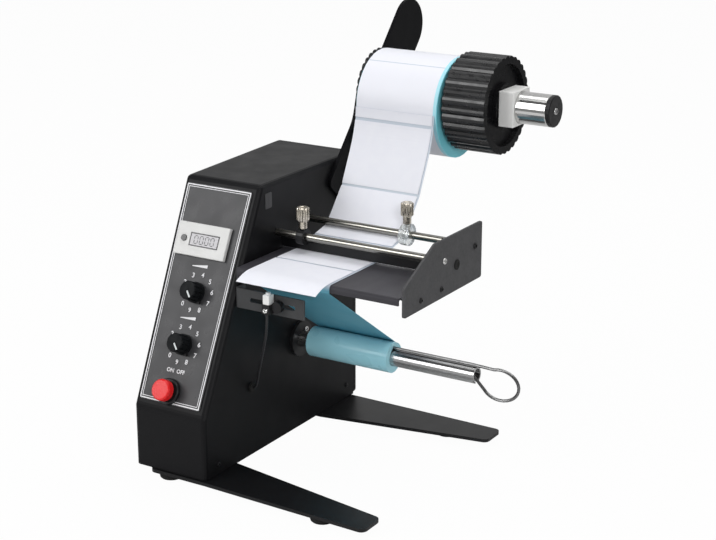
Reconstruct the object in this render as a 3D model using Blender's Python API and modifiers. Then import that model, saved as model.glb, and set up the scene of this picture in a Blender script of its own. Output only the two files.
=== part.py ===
"""Desk-top label dispenser with a supply roll, a peel platform and a take-up spindle.

The machine stands on two cross legs. X runs to the right, along the rods and the spindle,
Y runs to the back and Z runs up. All lengths are in metres. Places are measured from the
lower front corner of the housing's right side, and the empty "machine" then moves the
whole machine so that the origin lies on the floor under the middle of its bounding box.
"""

import math

import bmesh
import bpy
from mathutils import Vector

# Fits and facets
GAP = 0.0003                    # air between two pieces that touch
OVERRUN = 0.004                 # how far a cutter passes the face that it opens
ROUND_STEPS = 36
SMALL_STEPS = 20
HIDDEN_STEPS = 12               # pieces that the housing hides
CORNER_STEPS = 5
WELD_DISTANCE = 0.00001
SHARP_ANGLE = math.radians(35)

# Housing
HOUSING_DEPTH = 0.2245
HOUSING_HEIGHT = 0.2190
FRONT_FACE_HEIGHT = 0.0506
TOP_SETBACK = 0.0823
FRONT_WIDTH = 0.0683
REAR_WIDTH = 0.0805
SHELL_SHEET = 0.0020
HOUSING_EDGE_RADIUS = 0.0035
REAR_COVER_DEPTH = 0.0065
REAR_COVER_SHEET = 0.0012
BASE_SHEET = 0.0015
BASE_FLANGE = 0.0080
VENT_LENGTH = 0.0340
VENT_HEIGHT = 0.0024
VENT_PITCH = 0.0065
VENT_COUNT = 6
VENT_RISE = 0.1350

# Legs and feet
STAND_HEIGHT = 0.0090
LEG_SHEET = 0.0028
LEG_REACH = 0.1480
LEG_LEFT_REACH = 0.0540
LEG_CORNER_RADIUS = 0.0050
FRONT_LEG_OUTER_ROOT = -0.0019
FRONT_LEG_OUTER_TIP = -0.0072
FRONT_LEG_INNER_ROOT = 0.0423
FRONT_LEG_INNER_TIP = 0.0172
REAR_LEG_OUTER_ROOT = 0.2155
REAR_LEG_OUTER_TIP = 0.2134
REAR_LEG_INNER_ROOT = 0.1635
REAR_LEG_INNER_TIP = 0.1882
FOOT_RADIUS = 0.0105
FOOT_BOTTOM_RADIUS = 0.0094
FOOT_CHAMFER = 0.0008
FOOT_EDGE_MARGIN = 0.0020
FOOT_PLACE_SHARE = 0.70         # where the right feet sit along the legs

# Supply arm, shaft and wheels
ARM_SHEET = 0.0030
ARM_WIDTH = 0.0460
ARM_LEAN = math.radians(48.7)
ARM_TIP_Y = 0.3059
ARM_TIP_Z = 0.3137
ARM_LENGTH = 0.1720
ARM_SWELL = 0.0130
ARM_SWELL_REACH = 0.0400
ARM_FOOT_RADIUS = 0.0060
SHAFT_Y = 0.2420
SHAFT_Z = 0.2686
SHAFT_RADIUS = 0.0130
SHAFT_END = 0.1748
SHAFT_WALL = 0.0020
SHAFT_FLANGE_RADIUS = 0.0165
SHAFT_FLANGE = 0.0018
SHAFT_CHAMFER = 0.0006
CAP_HEAD = 0.0034
CAP_PLUG = 0.0080
CAP_DIMPLE_RADIUS = 0.0036
CAP_DIMPLE_DEPTH = 0.0008
WHEEL_RADIUS = 0.0402
WHEEL_RIB_DEPTH = 0.0016
WHEEL_RIBS = 32
WHEEL_RIB_STEPS = 4
WHEEL_CLEARANCE = 0.0003
INNER_WHEEL_RADIUS = 0.0360
INNER_WHEEL_WIDTH = 0.0035
OUTER_WHEEL_START = 0.0929
OUTER_WHEEL_WIDTH = 0.0377
WHEEL_RECESS_DEPTH = 0.0040
WHEEL_RIM = 0.0050
WHEEL_HUB_RADIUS = 0.0185
WHEEL_BACK_DEPTH = 0.0240
COLLAR_SIZE = 0.0290
COLLAR_WIDTH = 0.0135
COLLAR_EDGE_RADIUS = 0.0008

# Label roll
ROLL_START = 0.0138
ROLL_WIDTH = 0.0754
ROLL_RADIUS = 0.0418
CORE_BORE_RADIUS = 0.0193
CORE_WALL = 0.0022
ROLL_DISH = 0.0004

# Guide rods, side plate, platform and tension bar
ROD_RADIUS = 0.0030
FRONT_ROD_Y = 0.1026
FRONT_ROD_Z = 0.1771
REAR_ROD_Y = 0.1518
REAR_ROD_Z = 0.1766
PLATE_FACE = 0.1518
PLATE_SHEET = 0.0020
PLATE_FRONT_Y = 0.0430
PLATE_REAR_Y = 0.1633
PLATE_BOTTOM_Z = 0.1487
PLATE_NOSE_Z = 0.1711
PLATE_SLOPE_Y = 0.0883
PLATE_TOP_Z = 0.1942
PLATE_CORNER_RADIUS = 0.0020
PLATE_HOLE_Y = 0.1224
PLATE_HOLE_Z = 0.1693
PLATE_HOLE_RADIUS = 0.0035
PLATFORM_FRONT_Y = 0.0432
PLATFORM_REAR_Y = 0.1120
PLATFORM_TOP_Z = 0.1630
PLATFORM_SHEET = 0.0015
PLATFORM_LIP = 0.0055
PLATFORM_FLANGE = 0.0125
PLATFORM_NOTCH = 0.0030
PLATFORM_BEND_RADIUS = 0.0009
BAR_Y = 0.1090
BAR_THICKNESS = 0.0030
BAR_TOP_Z = 0.1722

# Label web
LINER_THICKNESS = 0.00025
LABEL_THICKNESS = 0.00025
LINER_LEFT = 0.0143
LINER_RIGHT = 0.0875
LABEL_RIGHT = 0.0860
LABEL_LENGTH = 0.0535
LABEL_SPACE = 0.0022
FRONT_LABEL_REST = 0.0340       # how much of the front label still lies on the platform
LABEL_DROOP = 0.0050
LABEL_COUNT = 4
LABEL_STEP = 0.0030
KINK_Y = 0.1776
KINK_Z = 0.2012
KINK_SLOPE = math.radians(66)
WEB_SLACK = 0.0220
WEB_STEPS = 14

# Guides on the rods
GUIDE_WIDTH = 0.0065
LEFT_GUIDE_RADIUS = 0.0066
RIGHT_GUIDE_RADIUS = 0.0090
LEFT_GUIDE_X = 0.0250
GUIDE_SCREW_RADIUS = 0.0020
GUIDE_SCREW_HEAD_RADIUS = 0.0052
GUIDE_SCREW_HEAD = 0.0110
GUIDE_SCREW_NECK_RADIUS = 0.0034
GUIDE_SCREW_NECK = 0.0060
GUIDE_SCREW_CHAMFER = 0.0006

# Take-up spindle
SPINDLE_PLACE_SHARE = 0.5942    # how far back the spindle sits in the housing's depth
SPINDLE_Z = 0.0782
SPINDLE_RADIUS = 0.0067
SPINDLE_WALL = 0.0013
SPINDLE_END = 0.1656
SPINDLE_TAIL = 0.0230           # how far the spindle reaches into the housing
SPINDLE_SLOT = 0.0042
SPINDLE_SLOT_LENGTH = 0.0700
BEARING_RADIUS = 0.0105
BEARING_FLANGE_RADIUS = 0.0150
BEARING_FLANGE = 0.0030
BEARING_SLEEVE = 0.0070
WOUND_RADIUS = 0.0125
WOUND_RIGHT = 0.0905
WIRE_RADIUS = 0.0013
WIRE_RISE = 0.0083              # height of the upper wire leg over the spindle axis
WIRE_TIP = 0.0200
WIRE_INNER_TIP = 0.1050
WIRE_LOOP_START = 0.1700
WIRE_LOOP_HEIGHT = 0.0250
WIRE_LOOP_REACH = 0.2020
WIRE_STEPS = 22
WIRE_LOOP_FROM = -150           # degrees round the handle at which the inner leg joins
WIRE_LOOP_TO = 110              # and at which the upper leg leaves

# Drive inside the housing
PULLEY_WIDTH = 0.0080
PULLEY_FLANGE = 0.0012
PULLEY_FLANGE_RISE = 0.0018
SPINDLE_PULLEY_RADIUS = 0.0160
MOTOR_PULLEY_RADIUS = 0.0100
PULLEY_INSET = 0.0115
BELT_THICKNESS = 0.0012
BELT_SIDE_CLEARANCE = 0.0005
MOTOR_REAR_SPACE = 0.0385       # from the housing's rear face to the motor's axis
MOTOR_Z = 0.0560
MOTOR_RADIUS = 0.0170
MOTOR_LENGTH = 0.0330
MOTOR_SHAFT_RADIUS = 0.0025
MOTOR_BOSS_RADIUS = 0.0060
MOTOR_BOSS = 0.0030
BRACKET_SHEET = 0.0015
BRACKET_MARGIN = 0.0030
BRACKET_FOOT = 0.0200
BRACKET_INSET = 0.0260
BRACKET_BEND_RADIUS = 0.0008

# Control panel, measured from the panel's lower right corner along its slope
OVERLAY_THICKNESS = 0.0006
OVERLAY_RIGHT = -0.0059
OVERLAY_LEFT_MARGIN = 0.0040
OVERLAY_BOTTOM = 0.0062
OVERLAY_TOP_MARGIN = 0.0025
OVERLAY_CORNER_RADIUS = 0.0025
COUNTER_X = -0.0398
COUNTER_S = 0.1366
COUNTER_WIDTH = 0.0487
COUNTER_HEIGHT = 0.0264
COUNTER_BEZEL = 0.0034
COUNTER_BODY_WIDTH = 0.0445
COUNTER_BODY_HEIGHT = 0.0222
COUNTER_BODY_DEPTH = 0.0260
COUNTER_EDGE_RADIUS = 0.0006
WINDOW_X = -0.0372
WINDOW_WIDTH = 0.0274
WINDOW_HEIGHT = 0.0104
WINDOW_RECESS = 0.0012
RESET_X = -0.0566
RESET_RADIUS = 0.0024
RESET_POCKET = 0.0022
RESET_PROUD = 0.0012
KNOB_X = -0.0350
UPPER_KNOB_S = 0.0958
LOWER_KNOB_S = 0.0540
KNOB_RADIUS = 0.0075
KNOB_SKIRT_RADIUS = 0.0084
KNOB_SKIRT = 0.0022
KNOB_HEIGHT = 0.0125
KNOB_RIM = 0.0008
KNOB_LIFT = 0.0007
KNOB_BORE_DEPTH = 0.0085
KNOB_FLUTES = 12
KNOB_FLUTE_RADIUS = 0.0007
KNOB_FLUTE_STEPS = 6
POT_SHAFT_RADIUS = 0.0030
POT_SHAFT_LENGTH = 0.0085
POT_BUSH_RADIUS = 0.0036
POT_BODY_RADIUS = 0.0082
POT_BODY_DEPTH = 0.0110
BUTTON_X = -0.0375
BUTTON_S = 0.0160
BUTTON_RADIUS = 0.0086
BUTTON_HEIGHT = 0.0062
BUTTON_DOME = 0.0020
BUTTON_TRAVEL = 0.0025
BUTTON_STEM_RADIUS = 0.0036
BUTTON_STEM = 0.0070
COLLAR_RING_RADIUS = 0.0104
COLLAR_RING_HEIGHT = 0.0036
SWITCH_BARREL_RADIUS = 0.0078
SWITCH_BARREL_DEPTH = 0.0180
SWITCH_RING_CHAMFER = 0.0008

# Label sensor
BRACKET_FRONT_Y = 0.0440
BRACKET_BOTTOM_Z = 0.1310
BRACKET_TOP_Z = 0.1470
BRACKET_RIGHT = 0.0640
BRACKET_FLANGE = 0.0120
SLOT_LEFT = 0.0140
SLOT_RIGHT = 0.0560
SLOT_HEIGHT = 0.0036
SLOT_ROUND_SHARE = 0.48
SENSOR_X = 0.0340
SENSOR_WIDTH = 0.0058
SENSOR_DEPTH = 0.0070
SENSOR_HEIGHT = 0.0150
SENSOR_BOTTOM_Z = 0.1330
SENSOR_EDGE_RADIUS = 0.0005
SENSOR_EYE_RADIUS = 0.0020
SENSOR_EYE_RISE = 0.0016
CLAMP_X = 0.0420
CLAMP_RADIUS = 0.0046
CLAMP_HEAD = 0.0050
CLAMP_STEM_RADIUS = 0.0014
CABLE_RADIUS = 0.0011
CABLE_END_Y = 0.0631
CABLE_END_Z = 0.0581
GROMMET_RADIUS = 0.0040
GROMMET_HOLE_RADIUS = 0.0028
GROMMET_HEAD = 0.0022
GROMMET_TAIL = 0.0030
CABLE_ROUTE = [
    (0.0325, 0.0400, 0.1327),
    (0.0324, 0.0402, 0.1290),
    (0.0317, 0.0410, 0.1235),
    (0.0302, 0.0424, 0.1170),
    (0.0280, 0.0442, 0.1103),
    (0.0252, 0.0464, 0.1036),
    (0.0221, 0.0490, 0.0968),
    (0.0188, 0.0517, 0.0899),
    (0.0155, 0.0544, 0.0829),
    (0.0123, 0.0570, 0.0760),
    (0.0095, 0.0594, 0.0695),
    (0.0070, 0.0614, 0.0640),
    (0.0050, 0.0627, 0.0600),
    (0.0028, 0.0631, 0.0581),
]

# Electric pieces inside
BOARD_LENGTH = 0.0760
BOARD_WIDTH = 0.0480
BOARD_THICKNESS = 0.0016
BOARD_Y = 0.0750
BOARD_LIFT = 0.0080
STANDOFF_RADIUS = 0.0026
STANDOFF_MARGIN = 0.0050
TRANSFORMER_SIZE = 0.0240
TRANSFORMER_HEIGHT = 0.0200
CAPACITOR_RADIUS = 0.0045
CAPACITOR_HEIGHT = 0.0140
CAPACITOR_PLACE_SHARE = 0.22
TRANSFORMER_PLACE_SHARE = 0.22
INLET_X = -0.0400
INLET_Z = 0.0300
INLET_WIDTH = 0.0270
INLET_HEIGHT = 0.0198
INLET_FLANGE = 0.0030
INLET_RIM = 0.0030
INLET_BODY_DEPTH = 0.0180
INLET_SOCKET_DEPTH = 0.0120
INLET_SOCKET_WALL = 0.0022
INLET_EDGE_RADIUS = 0.0008

# Places that follow from the values above
ROLL_Z = SHAFT_Z - (CORE_BORE_RADIUS - SHAFT_RADIUS - GAP)
SPINDLE_Y = HOUSING_DEPTH * SPINDLE_PLACE_SHARE
MOTOR_Y = HOUSING_DEPTH - MOTOR_REAR_SPACE
ARM_FACE = GAP + ARM_SHEET
FLANGE_FACE = ARM_FACE + GAP + SHAFT_FLANGE
INNER_WHEEL_START = ROLL_START - GAP - INNER_WHEEL_WIDTH
COLLAR_START = OUTER_WHEEL_START + OUTER_WHEEL_WIDTH + GAP
PLATE_INNER = PLATE_FACE - PLATE_SHEET
RIGHT_GUIDE_X = LINER_RIGHT + GAP + GUIDE_WIDTH / 2
PANEL_LENGTH = math.hypot(TOP_SETBACK, HOUSING_HEIGHT - FRONT_FACE_HEIGHT)
PANEL_LEAN = math.atan2(HOUSING_HEIGHT - FRONT_FACE_HEIGHT, TOP_SETBACK)
PANEL_FACE = 2 * GAP + OVERLAY_THICKNESS
BUTTON_FACE = PANEL_FACE + COLLAR_RING_HEIGHT + BUTTON_TRAVEL + 2 * GAP + BUTTON_HEIGHT
BUTTON_REACH = ((BUTTON_FACE - BUTTON_DOME) * math.sin(PANEL_LEAN)
                + (BUTTON_RADIUS - BUTTON_DOME) * math.cos(PANEL_LEAN) + BUTTON_DOME)
LABEL_LIFT = LINER_THICKNESS / 2 + GAP + LABEL_THICKNESS / 2
WEB_ROD_RADIUS = ROD_RADIUS + GAP + LABEL_THICKNESS / 2 + LABEL_LIFT
WEB_TOP_Z = PLATFORM_TOP_Z + GAP + LINER_THICKNESS / 2
PULLEY_CENTRE = -PULLEY_INSET - PULLEY_WIDTH / 2
OVERALL_LEFT = -REAR_WIDTH
OVERALL_RIGHT = WIRE_LOOP_REACH + WIRE_RADIUS
OVERALL_FRONT = BUTTON_S * math.cos(PANEL_LEAN) - BUTTON_REACH
OVERALL_REAR = ARM_TIP_Y + ARM_WIDTH / 2

# Turns that lay a piece's own Z axis along X or along Y
ALONG_X = (0, math.pi / 2, 0)
ALONG_MINUS_Y = (math.pi / 2, 0, 0)
SIDEWAYS = (math.pi / 2, 0, math.pi / 2)

# Finishes: base colour, roughness, metallic
POWDER_COAT = ((0.012, 0.012, 0.013), 0.45, 0.0)
GLOSS_BLACK = ((0.008, 0.009, 0.010), 0.25, 0.0)
CHROME = ((0.75, 0.75, 0.76), 0.12, 1.0)
STEEL = ((0.55, 0.55, 0.56), 0.30, 1.0)
BLACK_PLASTIC = ((0.015, 0.015, 0.016), 0.50, 0.0)
WHITE_PLASTIC = ((0.80, 0.80, 0.80), 0.40, 0.0)
CLEAR_PLASTIC = ((0.70, 0.72, 0.74), 0.15, 0.0)
GREY_PLASTIC = ((0.30, 0.31, 0.32), 0.45, 0.0)
RED_PLASTIC = ((0.70, 0.020, 0.025), 0.35, 0.0)
RUBBER = ((0.010, 0.010, 0.010), 0.80, 0.0)
PAPER = ((0.82, 0.83, 0.88), 0.70, 0.0)
BLUE_LINER = ((0.25, 0.62, 0.75), 0.35, 0.0)
CARDBOARD = ((0.45, 0.32, 0.20), 0.85, 0.0)
NICKEL = ((0.60, 0.56, 0.48), 0.30, 1.0)
BOARD_GREEN = ((0.02, 0.16, 0.06), 0.50, 0.0)
DISPLAY = ((0.42, 0.44, 0.40), 0.20, 0.0)


# Scene helpers

def clear_scene():
    for item in list(bpy.data.objects):
        bpy.data.objects.remove(item, do_unlink=True)


def make_collection(name):
    collection = bpy.data.collections.new(name)
    bpy.context.scene.collection.children.link(collection)
    return collection


def make_empty(name, place, parent=None, turn=(0, 0, 0)):
    empty = bpy.data.objects.new(name, None)
    parts.objects.link(empty)
    empty.parent = parent
    empty.location = place
    empty.rotation_euler = turn
    return empty


def make_material(name, finish):
    colour, roughness, metallic = finish
    material = bpy.data.materials.new(name)
    material.use_nodes = True
    shader = material.node_tree.nodes["Principled BSDF"]
    shader.inputs["Base Color"].default_value = (*colour, 1)
    shader.inputs["Roughness"].default_value = roughness
    shader.inputs["Metallic"].default_value = metallic
    material.diffuse_color = (*colour, 1)
    return material


def add_object(name, data, finish, parent, place=(0, 0, 0), turn=(0, 0, 0)):
    """Put mesh or curve data in the scene. A piece without a finish is a cutter."""
    item = bpy.data.objects.new(name, data)
    if finish is None:
        cutters.objects.link(item)
        item.hide_render = True
        item.display_type = "WIRE"
    else:
        parts.objects.link(item)
        data.materials.append(make_material(name, finish))
    item.parent = parent
    item.location = place
    item.rotation_euler = turn
    return item


def mesh_from(name, bm):
    mesh = bpy.data.meshes.new(name)
    bm.to_mesh(mesh)
    bm.free()
    return mesh


def to_mesh(item):
    """Replace an object by its evaluated shape, welded and shaded smooth."""
    bpy.context.view_layer.update()
    graph = bpy.context.evaluated_depsgraph_get()
    mesh = bpy.data.meshes.new_from_object(item.evaluated_get(graph))
    bm = bmesh.new()
    bm.from_mesh(mesh)
    bmesh.ops.remove_doubles(bm, verts=bm.verts, dist=WELD_DISTANCE)
    bm.to_mesh(mesh)
    bm.free()
    mesh.shade_smooth()
    mesh.set_sharp_from_angle(angle=SHARP_ANGLE)
    name = item.name
    item.name = name + "_outline"
    solid = bpy.data.objects.new(name, mesh)
    for collection in item.users_collection:
        collection.objects.link(solid)
    solid.parent = item.parent
    solid.location = item.location
    solid.rotation_euler = item.rotation_euler
    solid.hide_render = item.hide_render
    solid.display_type = item.display_type
    bpy.data.objects.remove(item, do_unlink=True)
    return solid


def box(name, size, finish, parent, place=(0, 0, 0), turn=(0, 0, 0), edge=0.0):
    """A box around its own origin, with rounded edges where edge is given."""
    bm = bmesh.new()
    bmesh.ops.create_cube(bm, size=1)
    bmesh.ops.scale(bm, vec=Vector(size), verts=bm.verts)
    item = add_object(name, mesh_from(name, bm), finish, parent, place, turn)
    if edge > 0:
        round_edges(item, edge)
    return item


def round_edges(item, radius, segments=2):
    bevel = item.modifiers.new("rounded_edges", "BEVEL")
    bevel.width = radius
    bevel.segments = segments
    bevel.limit_method = "ANGLE"
    bevel.angle_limit = SHARP_ANGLE
    return bevel


def rod(name, radius, start, end, finish, parent, place=(0, 0, 0), turn=ALONG_X, steps=SMALL_STEPS):
    """A plain round bar from start to end along its own Z axis."""
    bm = bmesh.new()
    bmesh.ops.create_cone(bm, cap_ends=True, segments=steps, radius1=radius, radius2=radius,
                          depth=end - start)
    bmesh.ops.translate(bm, vec=(0, 0, (start + end) / 2), verts=bm.verts)
    mesh = mesh_from(name, bm)
    mesh.shade_smooth()
    mesh.set_sharp_from_angle(angle=SHARP_ANGLE)
    return add_object(name, mesh, finish, parent, place, turn)


def turned(name, profile, finish, parent, place=(0, 0, 0), turn=ALONG_X, steps=ROUND_STEPS,
           ring=False):
    """Turn a profile of (radius, height) points, which runs down its outer side."""
    mesh = bpy.data.meshes.new(name)
    count = len(profile)
    edges = [(index, index + 1) for index in range(count - 1)]
    if ring:
        edges.append((count - 1, 0))
    mesh.from_pydata([(radius, 0, height) for radius, height in profile], edges, [])
    item = add_object(name, mesh, finish, parent, place, turn)
    screw = item.modifiers.new("turn", "SCREW")
    screw.angle = 2 * math.pi
    screw.steps = steps
    screw.render_steps = steps
    screw.use_merge_vertices = True
    screw.merge_threshold = WELD_DISTANCE
    return to_mesh(item)


def plate(name, loops, thickness, finish, parent, place=(0, 0, 0), turn=(0, 0, 0)):
    """A flat sheet with holes: the first loop is the outline and the others are holes."""
    data = bpy.data.curves.new(name, "CURVE")
    data.dimensions = "2D"
    data.fill_mode = "BOTH"
    data.extrude = thickness / 2
    for loop in loops:
        spline = data.splines.new("POLY")
        spline.points.add(len(loop) - 1)
        for point, (across, along) in zip(spline.points, loop):
            point.co = (across, along, 0, 1)
        spline.use_cyclic_u = True
    return to_mesh(add_object(name, data, finish, parent, place, turn))


def tube_along(name, points, radius, finish, parent, place=(0, 0, 0), resolution=2):
    """A round wire or cable along its own points."""
    data = bpy.data.curves.new(name, "CURVE")
    data.dimensions = "3D"
    data.bevel_depth = radius
    data.bevel_resolution = resolution
    data.use_fill_caps = True
    spline = data.splines.new("POLY")
    spline.points.add(len(points) - 1)
    for point, co in zip(spline.points, points):
        point.co = (*co, 1)
    return to_mesh(add_object(name, data, finish, parent, place))


def ribbon(name, line, left, right, thickness, finish, parent):
    """A thin sheet that follows a line of (y, z) points and spans from left to right."""
    bm = bmesh.new()
    rows = [[bm.verts.new((x, y, z)) for x in (left, right)] for y, z in line]
    for first, second in zip(rows, rows[1:]):
        bm.faces.new((first[0], first[1], second[1], second[0]))
    item = add_object(name, mesh_from(name, bm), finish, parent)
    add_thickness(item, thickness, 0)
    return item


def tray(name, base, rim, thickness, radius, finish, parent):
    """A shallow tray: a closed base, whose corners turn clockwise as seen from inside,
    walls up to the rim, and the sheet's thickness on the inner side."""
    bm = bmesh.new()
    low = [bm.verts.new(corner) for corner in base]
    high = [bm.verts.new(corner) for corner in rim]
    bm.faces.new(low)
    count = len(low)
    for index in range(count):
        after = (index + 1) % count
        bm.faces.new((low[after], low[index], high[index], high[after]))
    inner_edges = [edge for edge in bm.edges if len(edge.link_faces) == 2]
    bmesh.ops.bevel(bm, geom=inner_edges, offset=radius, segments=3, profile=0.5, affect="EDGES")
    item = add_object(name, mesh_from(name, bm), finish, parent)
    add_thickness(item, thickness, -1)
    return item


def add_thickness(item, thickness, side):
    solidify = item.modifiers.new("sheet_thickness", "SOLIDIFY")
    solidify.thickness = thickness
    solidify.offset = side
    solidify.use_even_offset = True
    return solidify


def cut(target, cutter):
    boolean = target.modifiers.new("cut_" + cutter.name, "BOOLEAN")
    boolean.operation = "DIFFERENCE"
    boolean.object = cutter


def fuse(target, tool):
    """Join a second shape, kept among the cutters, to a piece."""
    boolean = target.modifiers.new("fuse_" + tool.name, "BOOLEAN")
    boolean.operation = "UNION"
    boolean.object = tool


# Outline helpers

def circle(radius, centre=(0, 0), steps=SMALL_STEPS):
    return arc(centre, radius, 0, 2 * math.pi * (steps - 1) / steps, steps - 1)


def arc(centre, radius, start, end, steps):
    points = []
    for index in range(steps + 1):
        angle = start + (end - start) * index / steps
        points.append((centre[0] + radius * math.cos(angle), centre[1] + radius * math.sin(angle)))
    return points


def rounded(corners, radius, steps=CORNER_STEPS):
    """Replace each corner of a polygon by an arc of the radius."""
    points = []
    count = len(corners)
    for index, corner in enumerate(corners):
        here = Vector(corner)
        before = (Vector(corners[index - 1]) - here).normalized()
        after = (Vector(corners[(index + 1) % count]) - here).normalized()
        half = before.angle(after) / 2
        centre = here + (before + after).normalized() * radius / math.sin(half)
        start = here + before * radius / math.tan(half) - centre
        end = here + after * radius / math.tan(half) - centre
        first = math.atan2(start.y, start.x)
        sweep = math.atan2(end.y, end.x) - first
        sweep = (sweep + math.pi) % (2 * math.pi) - math.pi
        points.extend(arc(centre, radius, first, first + sweep, steps))
    return points


def rectangle(left, right, bottom, top):
    return [(left, bottom), (right, bottom), (right, top), (left, top)]


def belt_line(first, first_radius, second, second_radius, steps=HIDDEN_STEPS):
    """The loop round two circles, as a tight belt lies on them."""
    across = Vector(second) - Vector(first)
    heading = math.atan2(across.y, across.x)
    lean = math.acos((first_radius - second_radius) / across.length)
    loop = arc(first, first_radius, heading + lean, heading - lean + 2 * math.pi, steps)
    loop += arc(second, second_radius, heading - lean, heading + lean, steps)
    return loop


def ribbed_circle(radius, depth, ribs, steps):
    """A round outline whose edge rises and falls like a grip."""
    points = []
    total = ribs * steps
    for index in range(total):
        angle = 2 * math.pi * index / total
        wave = (1 - math.cos(ribs * angle)) / 2
        reach = radius - depth * wave ** 2
        points.append((reach * math.cos(angle), reach * math.sin(angle)))
    return points


def bezier(start, start_handle, end_handle, end, steps):
    points = []
    for index in range(steps + 1):
        part = index / steps
        rest = 1 - part
        point = (Vector(start) * rest ** 3 + 3 * Vector(start_handle) * rest ** 2 * part
                 + 3 * Vector(end_handle) * rest * part ** 2 + Vector(end) * part ** 3)
        points.append((point.x, point.y))
    return points


def tangent_angle(centre, radius, point, side):
    """Where a line from a point touches a circle, as an angle round its centre."""
    away = Vector(point) - Vector(centre)
    return math.atan2(away.y, away.x) + side * math.acos(radius / away.length)


def distances(line):
    total = [0.0]
    for first, second in zip(line, line[1:]):
        total.append(total[-1] + math.dist(first, second))
    return total


def point_at(line, total, distance):
    """The point at a distance along a line, and the line's heading there."""
    index = 1
    while index < len(line) - 1 and total[index] < distance:
        index += 1
    part = (distance - total[index - 1]) / (total[index] - total[index - 1])
    first, second = Vector(line[index - 1]), Vector(line[index])
    return first.lerp(second, part), (second - first).normalized()


def stretch(line, start, end, lift, step=LABEL_STEP):
    """A stretch of a line between two distances, moved to the line's right-hand side."""
    total = distances(line)
    count = max(2, round((end - start) / step))
    points = []
    for index in range(count + 1):
        point, heading = point_at(line, total, start + (end - start) * index / count)
        side = Vector((heading.y, -heading.x))
        points.append(tuple(point + side * lift))
    return points


def housing_width(depth):
    """The left side leans outward, so the housing grows wider towards the back."""
    return FRONT_WIDTH + (REAR_WIDTH - FRONT_WIDTH) * depth / HOUSING_DEPTH


# Housing

def make_housing_shell():
    rear = HOUSING_DEPTH - REAR_COVER_DEPTH - GAP
    outline = [(0, 0), (0, FRONT_FACE_HEIGHT), (TOP_SETBACK, HOUSING_HEIGHT),
               (rear, HOUSING_HEIGHT), (rear, 0)]
    bm = bmesh.new()
    right = [bm.verts.new((0, y, z)) for y, z in outline]
    left = [bm.verts.new((-housing_width(y), y, z)) for y, z in outline]
    bm.faces.new(list(reversed(right)))
    bm.faces.new(left)
    for index in range(3):
        bm.faces.new((right[index], right[index + 1], left[index + 1], left[index]))
    folds = [edge for edge in bm.edges if len(edge.link_faces) == 2]
    bmesh.ops.bevel(bm, geom=folds, offset=HOUSING_EDGE_RADIUS, segments=3, profile=0.5,
                    affect="EDGES")
    shell = add_object("housing_shell", mesh_from("housing_shell", bm), POWDER_COAT, machine)
    add_thickness(shell, SHELL_SHEET, -1)
    reach = SHELL_SHEET + OVERRUN
    cut(shell, rod("spindle_hole", BEARING_RADIUS + GAP, -reach, OVERRUN, None, machine,
                   (0, SPINDLE_Y, SPINDLE_Z), steps=ROUND_STEPS))
    cut(shell, rod("cable_hole", GROMMET_HOLE_RADIUS + GAP, -reach, OVERRUN, None, machine,
                   (0, CABLE_END_Y, CABLE_END_Z)))
    cut(shell, box("counter_hole",
                   (COUNTER_BODY_WIDTH + 2 * GAP, COUNTER_BODY_HEIGHT + 2 * GAP, 2 * reach),
                   None, panel, (COUNTER_X, COUNTER_S, 0)))
    for name, place in (("upper", UPPER_KNOB_S), ("lower", LOWER_KNOB_S)):
        cut(shell, rod(name + "_pot_hole", POT_BUSH_RADIUS + GAP, -reach, OVERRUN, None, panel,
                       (KNOB_X, place, 0), (0, 0, 0)))
    cut(shell, rod("button_hole", SWITCH_BARREL_RADIUS + GAP, -reach, OVERRUN, None, panel,
                   (BUTTON_X, BUTTON_S, 0), (0, 0, 0)))


def make_rear_cover():
    front = HOUSING_DEPTH - REAR_COVER_DEPTH
    corners = [(0, 0), (1, 0), (1, 1), (0, 1)]
    base = [(-housing_width(HOUSING_DEPTH) * across, HOUSING_DEPTH, HOUSING_HEIGHT * up)
            for across, up in corners]
    rim = [(-housing_width(front) * across, front, HOUSING_HEIGHT * up) for across, up in corners]
    cover = tray("rear_cover", base, rim, REAR_COVER_SHEET, HOUSING_EDGE_RADIUS, POWDER_COAT,
                 machine)
    cut(cover, box("inlet_hole", (INLET_WIDTH + 2 * GAP, 2 * OVERRUN, INLET_HEIGHT + 2 * GAP),
                   None, machine, (INLET_X, HOUSING_DEPTH, INLET_Z)))
    for index in range(VENT_COUNT):
        rise = VENT_RISE + index * VENT_PITCH
        cut(cover, box("vent_%d" % index, (VENT_LENGTH, 2 * OVERRUN, VENT_HEIGHT), None, machine,
                       (-REAR_WIDTH / 2, HOUSING_DEPTH, rise)))


def make_base_pan():
    front = SHELL_SHEET + GAP
    rear = HOUSING_DEPTH - REAR_COVER_DEPTH - GAP
    right = -SHELL_SHEET - GAP

    def left(depth):
        return SHELL_SHEET + 2 * GAP - housing_width(depth)

    corners = [(left(front), front), (left(rear), rear), (right, rear), (right, front)]
    low = [(x, y, 0) for x, y in corners]
    high = [(x, y, BASE_FLANGE) for x, y in corners]
    tray("base_pan", low, high, BASE_SHEET, HOUSING_EDGE_RADIUS, POWDER_COAT, machine)


def make_leg(name, outer_root, outer_tip, inner_root, inner_tip):
    corners = [(-LEG_LEFT_REACH, outer_root), (0, outer_root), (LEG_REACH, outer_tip),
               (LEG_REACH, inner_tip), (0, inner_root), (-LEG_LEFT_REACH, inner_root)]
    if outer_root > inner_root:
        corners.reverse()
    plate(name, [rounded(corners, LEG_CORNER_RADIUS)], LEG_SHEET, GLOSS_BLACK, machine,
          (0, 0, -GAP - LEG_SHEET / 2))


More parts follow.
